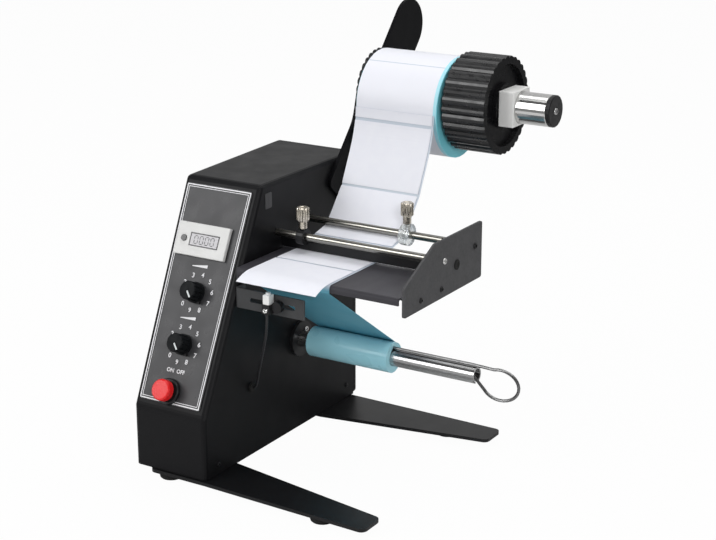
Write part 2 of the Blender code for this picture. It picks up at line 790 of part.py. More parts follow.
def make_foot(name, place):
    top = -2 * GAP - LEG_SHEET
    profile = [(0, top), (FOOT_RADIUS, top), (FOOT_BOTTOM_RADIUS, FOOT_CHAMFER - STAND_HEIGHT),
               (FOOT_BOTTOM_RADIUS - FOOT_CHAMFER, -STAND_HEIGHT), (0, -STAND_HEIGHT)]
    turned(name, profile, RUBBER, machine, (*place, 0), (0, 0, 0), SMALL_STEPS)


def make_stand():
    make_leg("front_leg", FRONT_LEG_OUTER_ROOT, FRONT_LEG_OUTER_TIP, FRONT_LEG_INNER_ROOT,
             FRONT_LEG_INNER_TIP)
    make_leg("rear_leg", REAR_LEG_OUTER_ROOT, REAR_LEG_OUTER_TIP, REAR_LEG_INNER_ROOT,
             REAR_LEG_INNER_TIP)
    margin = FOOT_RADIUS + FOOT_EDGE_MARGIN
    left = margin - LEG_LEFT_REACH
    right = LEG_REACH * FOOT_PLACE_SHARE
    make_foot("front_left_foot", (left, FRONT_LEG_OUTER_ROOT + margin))
    make_foot("rear_left_foot", (left, REAR_LEG_OUTER_ROOT - margin))
    lean = (FRONT_LEG_OUTER_TIP - FRONT_LEG_OUTER_ROOT) * FOOT_PLACE_SHARE
    make_foot("front_right_foot", (right, FRONT_LEG_OUTER_ROOT + lean + margin))
    lean = (REAR_LEG_OUTER_TIP - REAR_LEG_OUTER_ROOT) * FOOT_PLACE_SHARE
    make_foot("rear_right_foot", (right, REAR_LEG_OUTER_ROOT + lean - margin))


# Supply arm, shaft and wheels

def make_supply_arm():
    """A flat blade that leans back. Its front edge swells where the shaft is bolted on."""
    along = Vector((math.cos(ARM_LEAN), math.sin(ARM_LEAN)))
    across = Vector((math.sin(ARM_LEAN), -math.cos(ARM_LEAN)))
    tip = Vector((ARM_TIP_Y, ARM_TIP_Z))
    half = ARM_WIDTH / 2
    shaft_place = (Vector((SHAFT_Y, SHAFT_Z)) - tip).dot(along)

    def place(length, width):
        return tuple(tip + along * length + across * width)

    corner = math.radians(90)
    outline = []
    for length, width in arc((ARM_FOOT_RADIUS - ARM_LENGTH, half - ARM_FOOT_RADIUS),
                             ARM_FOOT_RADIUS, 2 * corner, corner, CORNER_STEPS):
        outline.append(place(length, width))
    for length, width in arc((0, 0), half, corner, -corner, SMALL_STEPS):
        outline.append(place(length, width))
    for index in range(SMALL_STEPS + 1):
        offset = ARM_SWELL_REACH * (1 - 2 * index / SMALL_STEPS)
        swell = ARM_SWELL * math.cos(math.pi / 2 * offset / ARM_SWELL_REACH) ** 2
        outline.append(place(shaft_place + offset, -half - swell))
    for length, width in arc((ARM_FOOT_RADIUS - ARM_LENGTH, ARM_FOOT_RADIUS - half),
                             ARM_FOOT_RADIUS, -corner, -2 * corner, CORNER_STEPS):
        outline.append(place(length, width))
    plate("supply_arm", [outline], ARM_SHEET, POWDER_COAT, machine, (GAP + ARM_SHEET / 2, 0, 0),
          SIDEWAYS)


def make_shaft():
    start = ARM_FACE + GAP
    end = SHAFT_END - CAP_HEAD - GAP
    bore = SHAFT_RADIUS - SHAFT_WALL
    profile = [(bore, end), (SHAFT_RADIUS - SHAFT_CHAMFER, end), (SHAFT_RADIUS, end - SHAFT_CHAMFER),
               (SHAFT_RADIUS, FLANGE_FACE), (SHAFT_FLANGE_RADIUS, FLANGE_FACE),
               (SHAFT_FLANGE_RADIUS, start), (bore, start)]
    turned("supply_shaft", profile, CHROME, machine, (0, SHAFT_Y, SHAFT_Z), ring=True)
    plug = bore - GAP
    profile = [(0, SHAFT_END - CAP_DIMPLE_DEPTH), (CAP_DIMPLE_RADIUS, SHAFT_END - CAP_DIMPLE_DEPTH),
               (CAP_DIMPLE_RADIUS, SHAFT_END), (SHAFT_RADIUS - SHAFT_CHAMFER, SHAFT_END),
               (SHAFT_RADIUS, SHAFT_END - SHAFT_CHAMFER), (SHAFT_RADIUS, SHAFT_END - CAP_HEAD),
               (plug, SHAFT_END - CAP_HEAD), (plug, end - CAP_PLUG), (0, end - CAP_PLUG)]
    turned("shaft_cap", profile, BLACK_PLASTIC, machine, (0, SHAFT_Y, SHAFT_Z), steps=SMALL_STEPS)


def make_wheel(name, radius, start, width, parent, centre):
    """A ribbed side wheel. A deep one is hollowed from both sides between rim and hub."""
    bore = SHAFT_RADIUS + WHEEL_CLEARANCE
    outline = ribbed_circle(radius, WHEEL_RIB_DEPTH, WHEEL_RIBS, WHEEL_RIB_STEPS)
    wheel = plate(name, [outline, circle(bore, steps=ROUND_STEPS)], width, BLACK_PLASTIC, parent,
                  (start + width / 2 - centre, 0, 0), ALONG_X)
    if width > WHEEL_BACK_DEPTH:
        rim = radius - WHEEL_RIB_DEPTH - WHEEL_RIM
        for side, depth in (("outer", WHEEL_RECESS_DEPTH), ("inner", WHEEL_BACK_DEPTH)):
            if side == "outer":
                low, high = width / 2 - depth, width / 2 + OVERRUN
            else:
                low, high = -width / 2 - OVERRUN, depth - width / 2
            profile = [(WHEEL_HUB_RADIUS, high), (rim, high), (rim, low), (WHEEL_HUB_RADIUS, low)]
            recess = turned(name + "_%s_recess" % side, profile, None, parent,
                            (start + width / 2 - centre, 0, 0), ring=True)
            cut(wheel, recess)
    return wheel


def make_supply_wheels():
    inner = make_empty("inner_wheel_axis", (INNER_WHEEL_START, SHAFT_Y, SHAFT_Z), machine)
    make_wheel("inner_wheel", INNER_WHEEL_RADIUS, INNER_WHEEL_START, INNER_WHEEL_WIDTH, inner,
               INNER_WHEEL_START)
    collar = make_empty("collar_axis", (COLLAR_START, SHAFT_Y, SHAFT_Z), machine)
    make_wheel("outer_wheel", WHEEL_RADIUS, OUTER_WHEEL_START, OUTER_WHEEL_WIDTH, collar,
               COLLAR_START)
    block = box("collar_block", (COLLAR_WIDTH, COLLAR_SIZE, COLLAR_SIZE), WHITE_PLASTIC, collar,
                (COLLAR_WIDTH / 2, 0, 0), edge=COLLAR_EDGE_RADIUS)
    bore = SHAFT_RADIUS + WHEEL_CLEARANCE
    cut(block, rod("collar_bore", bore, -OVERRUN, COLLAR_WIDTH + OVERRUN, None, collar,
                   steps=ROUND_STEPS))


# Label roll and web

def make_roll():
    axis = make_empty("roll_axis", (ROLL_START, SHAFT_Y, ROLL_Z), machine)
    outer = CORE_BORE_RADIUS + CORE_WALL
    profile = [(CORE_BORE_RADIUS, ROLL_WIDTH), (outer, ROLL_WIDTH), (outer, 0),
               (CORE_BORE_RADIUS, 0)]
    turned("roll_core", profile, CARDBOARD, axis, ring=True)
    bore = outer + GAP
    dish = ROLL_DISH
    profile = [(bore, ROLL_WIDTH - dish), (ROLL_RADIUS - dish, ROLL_WIDTH),
               (ROLL_RADIUS, ROLL_WIDTH - dish), (ROLL_RADIUS, dish), (ROLL_RADIUS - dish, 0),
               (bore, dish)]
    turned("label_roll", profile, PAPER, axis, ring=True)


def web_line():
    """The backing paper's middle line as (y, z) points, from the supply roll, under the
    rear rod, over the platform, round its lip and down to the take-up roll. The second
    value is the distance along it at which it reaches the platform's front edge."""
    start = (SHAFT_Y - ROLL_RADIUS - GAP - LINER_THICKNESS / 2, ROLL_Z)
    kink = (KINK_Y, KINK_Z)
    steep = Vector((math.cos(KINK_SLOPE), math.sin(KINK_SLOPE))) * WEB_SLACK
    line = bezier(start, (start[0], start[1] - WEB_SLACK), tuple(Vector(kink) + steep), kink,
                  WEB_STEPS)
    rear_rod = (REAR_ROD_Y, REAR_ROD_Z)
    landing = (PLATFORM_REAR_Y, WEB_TOP_Z)
    first = tangent_angle(rear_rod, WEB_ROD_RADIUS, kink, -1)
    last = tangent_angle(rear_rod, WEB_ROD_RADIUS, landing, 1) - 2 * math.pi
    if last < first - math.pi:
        last += 2 * math.pi
    line += arc(rear_rod, WEB_ROD_RADIUS, first, last, CORNER_STEPS)
    line.append(landing)

    sheet_lift = GAP + LINER_THICKNESS / 2
    bend = PLATFORM_BEND_RADIUS + PLATFORM_SHEET + sheet_lift
    front = PLATFORM_FRONT_Y + PLATFORM_BEND_RADIUS + PLATFORM_SHEET
    quarter = math.pi / 2
    line += arc((front, WEB_TOP_Z - bend), bend, quarter, 2 * quarter, CORNER_STEPS)
    reach = distances(line)[-CORNER_STEPS - 1]

    lip = (PLATFORM_FRONT_Y + PLATFORM_SHEET / 2, PLATFORM_TOP_Z - PLATFORM_LIP)
    lip_radius = PLATFORM_SHEET / 2 + sheet_lift
    wound = (SPINDLE_Y, SPINDLE_Z)
    wound_radius = WOUND_RADIUS + sheet_lift
    across = Vector(wound) - Vector(lip)
    heading = math.atan2(across.y, across.x)
    heading += math.asin((lip_radius + wound_radius) / across.length)
    line += arc(lip, lip_radius, -2 * quarter, heading - quarter, CORNER_STEPS)
    line += arc(wound, wound_radius, heading + quarter, heading + quarter / 2, CORNER_STEPS)
    return line, reach


def make_web():
    line, reach = web_line()
    ribbon("liner_strip", line, LINER_LEFT, LINER_RIGHT, LINER_THICKNESS, BLUE_LINER, machine)
    for index in range(1, LABEL_COUNT):
        front = reach - FRONT_LABEL_REST - (index - 1) * (LABEL_LENGTH + LABEL_SPACE) - LABEL_SPACE
        rear = max(front - LABEL_LENGTH, LABEL_SPACE)
        ribbon("label_%d" % (index + 1), stretch(line, rear, front, LABEL_LIFT), LINER_LEFT,
               LABEL_RIGHT, LABEL_THICKNESS, PAPER, machine)
    z = WEB_TOP_Z + LABEL_LIFT
    rest_front = PLATFORM_FRONT_Y + PLATFORM_BEND_RADIUS + PLATFORM_SHEET
    overhang = LABEL_LENGTH - FRONT_LABEL_REST
    points = [(rest_front + FRONT_LABEL_REST, z), (rest_front, z)]
    for index in range(1, CORNER_STEPS * 2 + 1):
        part = index / (CORNER_STEPS * 2)
        points.append((rest_front - overhang * part, z - LABEL_DROOP * part ** 2))
    ribbon("label_1", points, LINER_LEFT, LABEL_RIGHT, LABEL_THICKNESS, PAPER, machine)


# Rods, platform and side plate

def make_rods():
    for name, y, z in (("front_rod", FRONT_ROD_Y, FRONT_ROD_Z), ("rear_rod", REAR_ROD_Y, REAR_ROD_Z)):
        rod(name, ROD_RADIUS, GAP, PLATE_INNER - GAP, CHROME, machine, (0, y, z))
    bottom = WEB_TOP_Z + LABEL_LIFT + LABEL_THICKNESS / 2 + GAP
    box("tension_bar", (PLATE_INNER - 2 * GAP, BAR_THICKNESS, BAR_TOP_Z - bottom), GLOSS_BLACK,
        machine, (PLATE_INNER / 2, BAR_Y, (BAR_TOP_Z + bottom) / 2), edge=BAR_THICKNESS / 4)


def make_side_plate():
    corners = [(PLATE_FRONT_Y, PLATE_BOTTOM_Z), (PLATE_REAR_Y, PLATE_BOTTOM_Z),
               (PLATE_REAR_Y, PLATE_TOP_Z), (PLATE_SLOPE_Y, PLATE_TOP_Z),
               (PLATE_FRONT_Y, PLATE_NOSE_Z)]
    hole = circle(PLATE_HOLE_RADIUS, (PLATE_HOLE_Y, PLATE_HOLE_Z))
    plate("side_plate", [rounded(corners, PLATE_CORNER_RADIUS), hole], PLATE_SHEET, POWDER_COAT,
          machine, (PLATE_INNER + PLATE_SHEET / 2, 0, 0), SIDEWAYS)


def make_platform():
    """One sheet with a lip folded down in front and a flange folded down at each end.
    Relief notches part the lip from the flanges."""
    left, right = GAP, PLATE_INNER - GAP
    front, rear = PLATFORM_FRONT_Y, PLATFORM_REAR_Y
    notch = PLATFORM_NOTCH
    top = PLATFORM_TOP_Z
    corners = [(left, front + notch), (left + notch, front + notch), (left + notch, front),
               (right - notch, front), (right - notch, front + notch), (right, front + notch),
               (right, rear), (left, rear)]
    bm = bmesh.new()
    verts = [bm.verts.new((x, y, top)) for x, y in corners]
    bm.faces.new(verts)
    for first, second, drop in ((2, 3, PLATFORM_LIP), (5, 6, PLATFORM_FLANGE),
                                (7, 0, PLATFORM_FLANGE)):
        low_second = bm.verts.new(verts[second].co - Vector((0, 0, drop)))
        low_first = bm.verts.new(verts[first].co - Vector((0, 0, drop)))
        bm.faces.new((verts[second], verts[first], low_first, low_second))
    folds = [edge for edge in bm.edges if len(edge.link_faces) == 2]
    bmesh.ops.bevel(bm, geom=folds, offset=PLATFORM_BEND_RADIUS + PLATFORM_SHEET, segments=3,
                    profile=0.5, affect="EDGES")
    item = add_object("platform", mesh_from("platform", bm), GLOSS_BLACK, machine)
    add_thickness(item, PLATFORM_SHEET, -1)


def make_guide(name, x, y, z, radius, finish):
    """A ring that slides on a rod and is locked by a thumbscrew from above."""
    axis = make_empty(name + "_axis", (x, y, z), machine)
    half = GUIDE_WIDTH / 2
    bore = ROD_RADIUS + GAP
    profile = [(bore, half), (radius, half), (radius, -half), (bore, -half)]
    ring = turned(name + "_guide", profile, finish, axis, ring=True, steps=SMALL_STEPS)
    cut(ring, rod(name + "_screw_hole", GUIDE_SCREW_RADIUS + GAP, 0, radius + OVERRUN, None, axis,
                  turn=(0, 0, 0)))
    seat = radius + GAP
    neck = seat + GUIDE_SCREW_NECK
    top = neck + GUIDE_SCREW_HEAD
    chamfer = GUIDE_SCREW_CHAMFER
    tip = ROD_RADIUS + 2 * GAP
    profile = [(0, top), (GUIDE_SCREW_HEAD_RADIUS - chamfer, top),
               (GUIDE_SCREW_HEAD_RADIUS, top - chamfer), (GUIDE_SCREW_HEAD_RADIUS, neck + chamfer),
               (GUIDE_SCREW_HEAD_RADIUS - chamfer, neck), (GUIDE_SCREW_NECK_RADIUS, neck),
               (GUIDE_SCREW_NECK_RADIUS, seat), (GUIDE_SCREW_RADIUS, seat),
               (GUIDE_SCREW_RADIUS, tip), (0, tip)]
    turned(name + "_thumbscrew", profile, NICKEL, axis, turn=(0, 0, 0), steps=SMALL_STEPS)


# Take-up spindle

def make_spindle():
    axis = make_empty("spindle_axis", (0, SPINDLE_Y, SPINDLE_Z), machine)
    bore = SPINDLE_RADIUS - SPINDLE_WALL
    profile = [(bore, SPINDLE_END), (SPINDLE_RADIUS, SPINDLE_END), (SPINDLE_RADIUS, -SPINDLE_TAIL),
               (bore, -SPINDLE_TAIL)]
    tube = turned("spindle_tube", profile, STEEL, axis, ring=True, steps=SMALL_STEPS)
    length = SPINDLE_SLOT_LENGTH + OVERRUN
    cut(tube, box("spindle_slot", (length, SPINDLE_SLOT, SPINDLE_RADIUS + OVERRUN), None, axis,
                  (SPINDLE_END - SPINDLE_SLOT_LENGTH + length / 2, 0,
                   -(SPINDLE_RADIUS + OVERRUN) / 2)))

    outer = circle(WOUND_RADIUS, steps=ROUND_STEPS)
    inner = belt_line((0, 0), SPINDLE_RADIUS + GAP, (-WIRE_RISE, 0), WIRE_RADIUS + GAP)
    width = WOUND_RIGHT - LINER_LEFT
    plate("wound_liner", [outer, inner], width, BLUE_LINER, axis, (LINER_LEFT + width / 2, 0, 0),
          ALONG_X)

    loop_centre = (WIRE_LOOP_START + WIRE_LOOP_REACH) / 2
    points = [(WIRE_INNER_TIP, 0, 0), (WIRE_LOOP_START - WIRE_RISE, 0, 0)]
    middle = WIRE_RISE - WIRE_LOOP_HEIGHT / 2
    reach = WIRE_LOOP_REACH - loop_centre
    for index in range(WIRE_STEPS + 1):
        angle = math.radians(WIRE_LOOP_FROM + (WIRE_LOOP_TO - WIRE_LOOP_FROM) * index / WIRE_STEPS)
        points.append((loop_centre + reach * math.cos(angle), 0,
                       middle + WIRE_LOOP_HEIGHT / 2 * math.sin(angle)))
    points.append((WIRE_LOOP_START - WIRE_RISE, 0, WIRE_RISE))
    points.append((WIRE_TIP, 0, WIRE_RISE))
    tube_along("wire_clip", points, WIRE_RADIUS, STEEL, axis)

    bore = SPINDLE_RADIUS + GAP
    profile = [(bore, BEARING_FLANGE), (BEARING_FLANGE_RADIUS, BEARING_FLANGE),
               (BEARING_FLANGE_RADIUS, GAP), (BEARING_RADIUS, GAP), (BEARING_RADIUS, -BEARING_SLEEVE),
               (bore, -BEARING_SLEEVE)]
    turned("spindle_bearing", profile, BLACK_PLASTIC, machine, (0, SPINDLE_Y, SPINDLE_Z), ring=True,
           steps=SMALL_STEPS)
    make_pulley("spindle_pulley", SPINDLE_PULLEY_RADIUS, SPINDLE_RADIUS + GAP, axis)


# Drive inside the housing

def make_pulley(name, radius, bore, parent):
    half = PULLEY_WIDTH / 2
    groove = half - PULLEY_FLANGE
    rise = radius + PULLEY_FLANGE_RISE
    profile = [(bore, half), (rise, half), (rise, groove), (radius, groove), (radius, -groove),
               (rise, -groove), (rise, -half), (bore, -half)]
    turned(name, profile, WHITE_PLASTIC, parent, (PULLEY_CENTRE, 0, 0), ring=True,
           steps=HIDDEN_STEPS)


def make_drive():
    motor_axis = make_empty("motor_axis", (0, MOTOR_Y, MOTOR_Z), machine)
    make_pulley("motor_pulley", MOTOR_PULLEY_RADIUS, MOTOR_SHAFT_RADIUS + GAP, motor_axis)
    inner = belt_line((SPINDLE_Y, SPINDLE_Z), SPINDLE_PULLEY_RADIUS + GAP, (MOTOR_Y, MOTOR_Z),
                      MOTOR_PULLEY_RADIUS + GAP)
    thick = GAP + BELT_THICKNESS
    outer = belt_line((SPINDLE_Y, SPINDLE_Z), SPINDLE_PULLEY_RADIUS + thick, (MOTOR_Y, MOTOR_Z),
                      MOTOR_PULLEY_RADIUS + thick)
    width = PULLEY_WIDTH - 2 * PULLEY_FLANGE - 2 * BELT_SIDE_CLEARANCE
    plate("drive_belt", [outer, inner], width, RUBBER, machine, (PULLEY_CENTRE, 0, 0), SIDEWAYS)

    face = -BRACKET_INSET - BRACKET_SHEET - GAP
    shaft_end = PULLEY_CENTRE + PULLEY_WIDTH / 2
    profile = [(0, shaft_end), (MOTOR_SHAFT_RADIUS, shaft_end), (MOTOR_SHAFT_RADIUS, face + MOTOR_BOSS),
               (MOTOR_BOSS_RADIUS, face + MOTOR_BOSS), (MOTOR_BOSS_RADIUS, face),
               (MOTOR_RADIUS, face), (MOTOR_RADIUS, face - MOTOR_LENGTH),
               (0, face - MOTOR_LENGTH)]
    turned("drive_motor", profile, STEEL, machine, (0, MOTOR_Y, MOTOR_Z), steps=HIDDEN_STEPS)
    make_motor_bracket()


def make_motor_bracket():
    """An angle that stands on the base pan. Its upright carries the motor's face."""
    half = MOTOR_RADIUS + BRACKET_MARGIN
    front, rear = MOTOR_Y - half, MOTOR_Y + half
    right = -BRACKET_INSET
    bottom, top = BASE_SHEET + GAP, MOTOR_Z + half
    bm = bmesh.new()
    fold = [bm.verts.new((right, y, bottom)) for y in (front, rear)]
    high = [bm.verts.new((right, y, top)) for y in (front, rear)]
    far = [bm.verts.new((right - BRACKET_FOOT, y, bottom)) for y in (front, rear)]
    bm.faces.new((fold[0], fold[1], high[1], high[0]))
    bm.faces.new((fold[1], fold[0], far[0], far[1]))
    folds = [edge for edge in bm.edges if len(edge.link_faces) == 2]
    bmesh.ops.bevel(bm, geom=folds, offset=BRACKET_BEND_RADIUS + BRACKET_SHEET, segments=3,
                    profile=0.5, affect="EDGES")
    bracket = add_object("motor_bracket", mesh_from("motor_bracket", bm), STEEL, machine)
    add_thickness(bracket, BRACKET_SHEET, -1)
    cut(bracket, rod("motor_hole", MOTOR_BOSS_RADIUS + GAP, right - BRACKET_SHEET - OVERRUN,
                     right + OVERRUN, None, machine, (0, MOTOR_Y, MOTOR_Z)))


# Control panel

def make_overlay():
    left = OVERLAY_LEFT_MARGIN - FRONT_WIDTH
    right = OVERLAY_RIGHT
    widen = (REAR_WIDTH - FRONT_WIDTH) * TOP_SETBACK / HOUSING_DEPTH
    top = PANEL_LENGTH - HOUSING_EDGE_RADIUS - OVERLAY_TOP_MARGIN
    corners = [(left, OVERLAY_BOTTOM), (right, OVERLAY_BOTTOM), (right, top), (left - widen, top)]
    counter = rectangle(COUNTER_X - COUNTER_BODY_WIDTH / 2 - GAP,
                        COUNTER_X + COUNTER_BODY_WIDTH / 2 + GAP,
                        COUNTER_S - COUNTER_BODY_HEIGHT / 2 - GAP,
                        COUNTER_S + COUNTER_BODY_HEIGHT / 2 + GAP)
    loops = [rounded(corners, OVERLAY_CORNER_RADIUS), counter]
    for place in (UPPER_KNOB_S, LOWER_KNOB_S):
        loops.append(circle(POT_BUSH_RADIUS + GAP, (KNOB_X, place)))
    loops.append(circle(SWITCH_BARREL_RADIUS + GAP, (BUTTON_X, BUTTON_S)))
    plate("panel_overlay", loops, OVERLAY_THICKNESS, GLOSS_BLACK, panel,
          (0, 0, GAP + OVERLAY_THICKNESS / 2))


def make_counter():
    front = PANEL_FACE + COUNTER_BEZEL
    counter = box("counter", (COUNTER_WIDTH, COUNTER_HEIGHT, COUNTER_BEZEL), WHITE_PLASTIC, panel,
                  (COUNTER_X, COUNTER_S, PANEL_FACE + COUNTER_BEZEL / 2), edge=COUNTER_EDGE_RADIUS)
    depth = COUNTER_BODY_DEPTH + COUNTER_BEZEL / 2
    fuse(counter, box("counter_body", (COUNTER_BODY_WIDTH, COUNTER_BODY_HEIGHT, depth), None, panel,
                      (COUNTER_X, COUNTER_S, PANEL_FACE + COUNTER_BEZEL / 2 - depth / 2)))
    recess = WINDOW_RECESS + OVERRUN
    cut(counter, box("window_recess", (WINDOW_WIDTH + 2 * GAP, WINDOW_HEIGHT + 2 * GAP, recess),
                     None, panel, (WINDOW_X, COUNTER_S, front - WINDOW_RECESS + recess / 2)))
    cut(counter, rod("reset_pocket", RESET_RADIUS + GAP, front - RESET_POCKET, front + OVERRUN,
                     None, panel, (RESET_X, COUNTER_S, 0), (0, 0, 0)))
    glass = WINDOW_RECESS - GAP
    box("counter_window", (WINDOW_WIDTH, WINDOW_HEIGHT, glass), DISPLAY, panel,
        (WINDOW_X, COUNTER_S, front - WINDOW_RECESS + GAP + glass / 2))
    travel = make_empty("reset_axis", (RESET_X, COUNTER_S, front), panel)
    low = RESET_PROUD + GAP - RESET_POCKET
    rod("counter_reset", RESET_RADIUS, low, RESET_PROUD, RED_PLASTIC, travel, turn=(0, 0, 0))


def make_knob(name, place):
    """A fluted knob with a skirt, on the shaft of a rotary control behind the panel."""
    axis = make_empty(name + "_axis", (KNOB_X, place, PANEL_FACE), panel)
    bottom = KNOB_LIFT
    top = bottom + KNOB_HEIGHT
    bore = POT_SHAFT_RADIUS + GAP
    ceiling = bottom + KNOB_BORE_DEPTH
    profile = [(0, top), (KNOB_RADIUS - KNOB_RIM, top), (KNOB_RADIUS, top - KNOB_RIM),
               (KNOB_RADIUS, bottom + KNOB_SKIRT), (KNOB_SKIRT_RADIUS, bottom + KNOB_SKIRT),
               (KNOB_SKIRT_RADIUS, bottom), (bore, bottom), (bore, ceiling), (0, ceiling)]
    knob = turned(name + "_knob", profile, BLACK_PLASTIC, axis, turn=(0, 0, 0))
    for index in range(KNOB_FLUTES):
        angle = 2 * math.pi * index / KNOB_FLUTES
        spot = (KNOB_RADIUS * math.cos(angle), KNOB_RADIUS * math.sin(angle), 0)
        cut(knob, rod("%s_flute_%d" % (name, index), KNOB_FLUTE_RADIUS, bottom + KNOB_SKIRT,
                      top + OVERRUN, None, axis, spot, (0, 0, 0), KNOB_FLUTE_STEPS))
    inside = -GAP - SHELL_SHEET
    bush = PANEL_FACE
    shaft = PANEL_FACE + POT_SHAFT_LENGTH
    profile = [(0, shaft), (POT_SHAFT_RADIUS, shaft), (POT_SHAFT_RADIUS, bush),
               (POT_BUSH_RADIUS, bush), (POT_BUSH_RADIUS, inside), (POT_BODY_RADIUS, inside),
               (POT_BODY_RADIUS, inside - POT_BODY_DEPTH), (0, inside - POT_BODY_DEPTH)]
    turned(name + "_control", profile, STEEL, panel, (KNOB_X, place, 0), (0, 0, 0), HIDDEN_STEPS)


def make_button():
    ring = PANEL_FACE + COLLAR_RING_HEIGHT
    bore = BUTTON_STEM_RADIUS + GAP
    floor = ring + GAP - BUTTON_STEM
    chamfer = SWITCH_RING_CHAMFER
    profile = [(0, floor), (bore, floor), (bore, ring), (COLLAR_RING_RADIUS - chamfer, ring),
               (COLLAR_RING_RADIUS, ring - chamfer), (COLLAR_RING_RADIUS, PANEL_FACE),
               (SWITCH_BARREL_RADIUS, PANEL_FACE), (SWITCH_BARREL_RADIUS, -SWITCH_BARREL_DEPTH),
               (0, -SWITCH_BARREL_DEPTH)]
    turned("power_switch", profile, BLACK_PLASTIC, panel, (BUTTON_X, BUTTON_S, 0), (0, 0, 0),
           SMALL_STEPS)
    axis = make_empty("button_axis", (BUTTON_X, BUTTON_S, ring), panel)
    low = BUTTON_TRAVEL + 2 * GAP
    high = low + BUTTON_HEIGHT
    profile = [(0, high)]
    for radius, height in reversed(arc((0, high - BUTTON_DOME), 1, 0, math.pi / 2, CORNER_STEPS)[:-1]):
        rise = (height - (high - BUTTON_DOME)) * BUTTON_DOME
        profile.append((BUTTON_RADIUS - BUTTON_DOME + radius * BUTTON_DOME, high - BUTTON_DOME + rise))
    profile += [(BUTTON_RADIUS, low), (BUTTON_STEM_RADIUS, low), (BUTTON_STEM_RADIUS, low - BUTTON_STEM),
                (0, low - BUTTON_STEM)]
    turned("power_button", profile, RED_PLASTIC, axis, turn=(0, 0, 0))


# Label sensor

def make_sensor():
    bm = bmesh.new()
    left = GAP
    fold = [bm.verts.new((left, BRACKET_FRONT_Y, z)) for z in (BRACKET_BOTTOM_Z, BRACKET_TOP_Z)]
    far = [bm.verts.new((BRACKET_RIGHT, BRACKET_FRONT_Y, z)) for z in (BRACKET_BOTTOM_Z, BRACKET_TOP_Z)]
    wing = [bm.verts.new((left, BRACKET_FRONT_Y + BRACKET_FLANGE, z))
            for z in (BRACKET_BOTTOM_Z, BRACKET_TOP_Z)]
    bm.faces.new((fold[0], far[0], far[1], fold[1]))
    bm.faces.new((wing[0], fold[0], fold[1], wing[1]))
    folds = [edge for edge in bm.edges if len(edge.link_faces) == 2]
    bmesh.ops.bevel(bm, geom=folds, offset=BRACKET_BEND_RADIUS + BRACKET_SHEET, segments=3,
                    profile=0.5, affect="EDGES")
    bracket = add_object("sensor_bracket", mesh_from("sensor_bracket", bm), GREY_PLASTIC, machine)
    add_thickness(bracket, BRACKET_SHEET, -1)
    middle = (BRACKET_BOTTOM_Z + BRACKET_TOP_Z) / 2
    slot = rounded(rectangle(SLOT_LEFT, SLOT_RIGHT, middle - SLOT_HEIGHT / 2, middle + SLOT_HEIGHT / 2),
                   SLOT_HEIGHT * SLOT_ROUND_SHARE)
    cut(bracket, plate("sensor_slot", [slot], 2 * OVERRUN, None, machine,
                       (0, BRACKET_FRONT_Y + BRACKET_SHEET / 2, 0), ALONG_MINUS_Y))

    front = BRACKET_FRONT_Y - GAP - SENSOR_DEPTH
    top = SENSOR_BOTTOM_Z + SENSOR_HEIGHT
    sensor = box("label_sensor", (SENSOR_WIDTH, SENSOR_DEPTH, SENSOR_HEIGHT), WHITE_PLASTIC, machine,
                 (SENSOR_X, front + SENSOR_DEPTH / 2, SENSOR_BOTTOM_Z + SENSOR_HEIGHT / 2),
                 edge=SENSOR_EDGE_RADIUS)
    fuse(sensor, rod("sensor_eye", SENSOR_EYE_RADIUS, -SENSOR_EYE_RISE, SENSOR_EYE_RISE, None,
                     machine, (SENSOR_X, front + SENSOR_DEPTH / 2, top), (0, 0, 0)))

    axis = make_empty("clamp_axis", (CLAMP_X, BRACKET_FRONT_Y, middle), machine,
                      (math.pi / 2, 0, 0))
    head = GAP + CLAMP_HEAD
    profile = [(0, head), (CLAMP_RADIUS, head), (CLAMP_RADIUS, GAP), (CLAMP_STEM_RADIUS, GAP),
               (CLAMP_STEM_RADIUS, -BRACKET_SHEET - GAP), (0, -BRACKET_SHEET - GAP)]
    turned("sensor_clamp", profile, BLACK_PLASTIC, axis, turn=(0, 0, 0), steps=SMALL_STEPS)

    tube_along("sensor_cable", CABLE_ROUTE, CABLE_RADIUS, RUBBER, machine)
    profile = [(0, GROMMET_HEAD), (GROMMET_RADIUS, GROMMET_HEAD), (GROMMET_RADIUS, GAP),
               (GROMMET_HOLE_RADIUS, GAP), (GROMMET_HOLE_RADIUS, -SHELL_SHEET - GROMMET_TAIL),
               (0, -SHELL_SHEET - GROMMET_TAIL)]
    turned("cable_grommet", profile, RUBBER, machine, (0, CABLE_END_Y, CABLE_END_Z),
           steps=SMALL_STEPS)


# Electric pieces inside

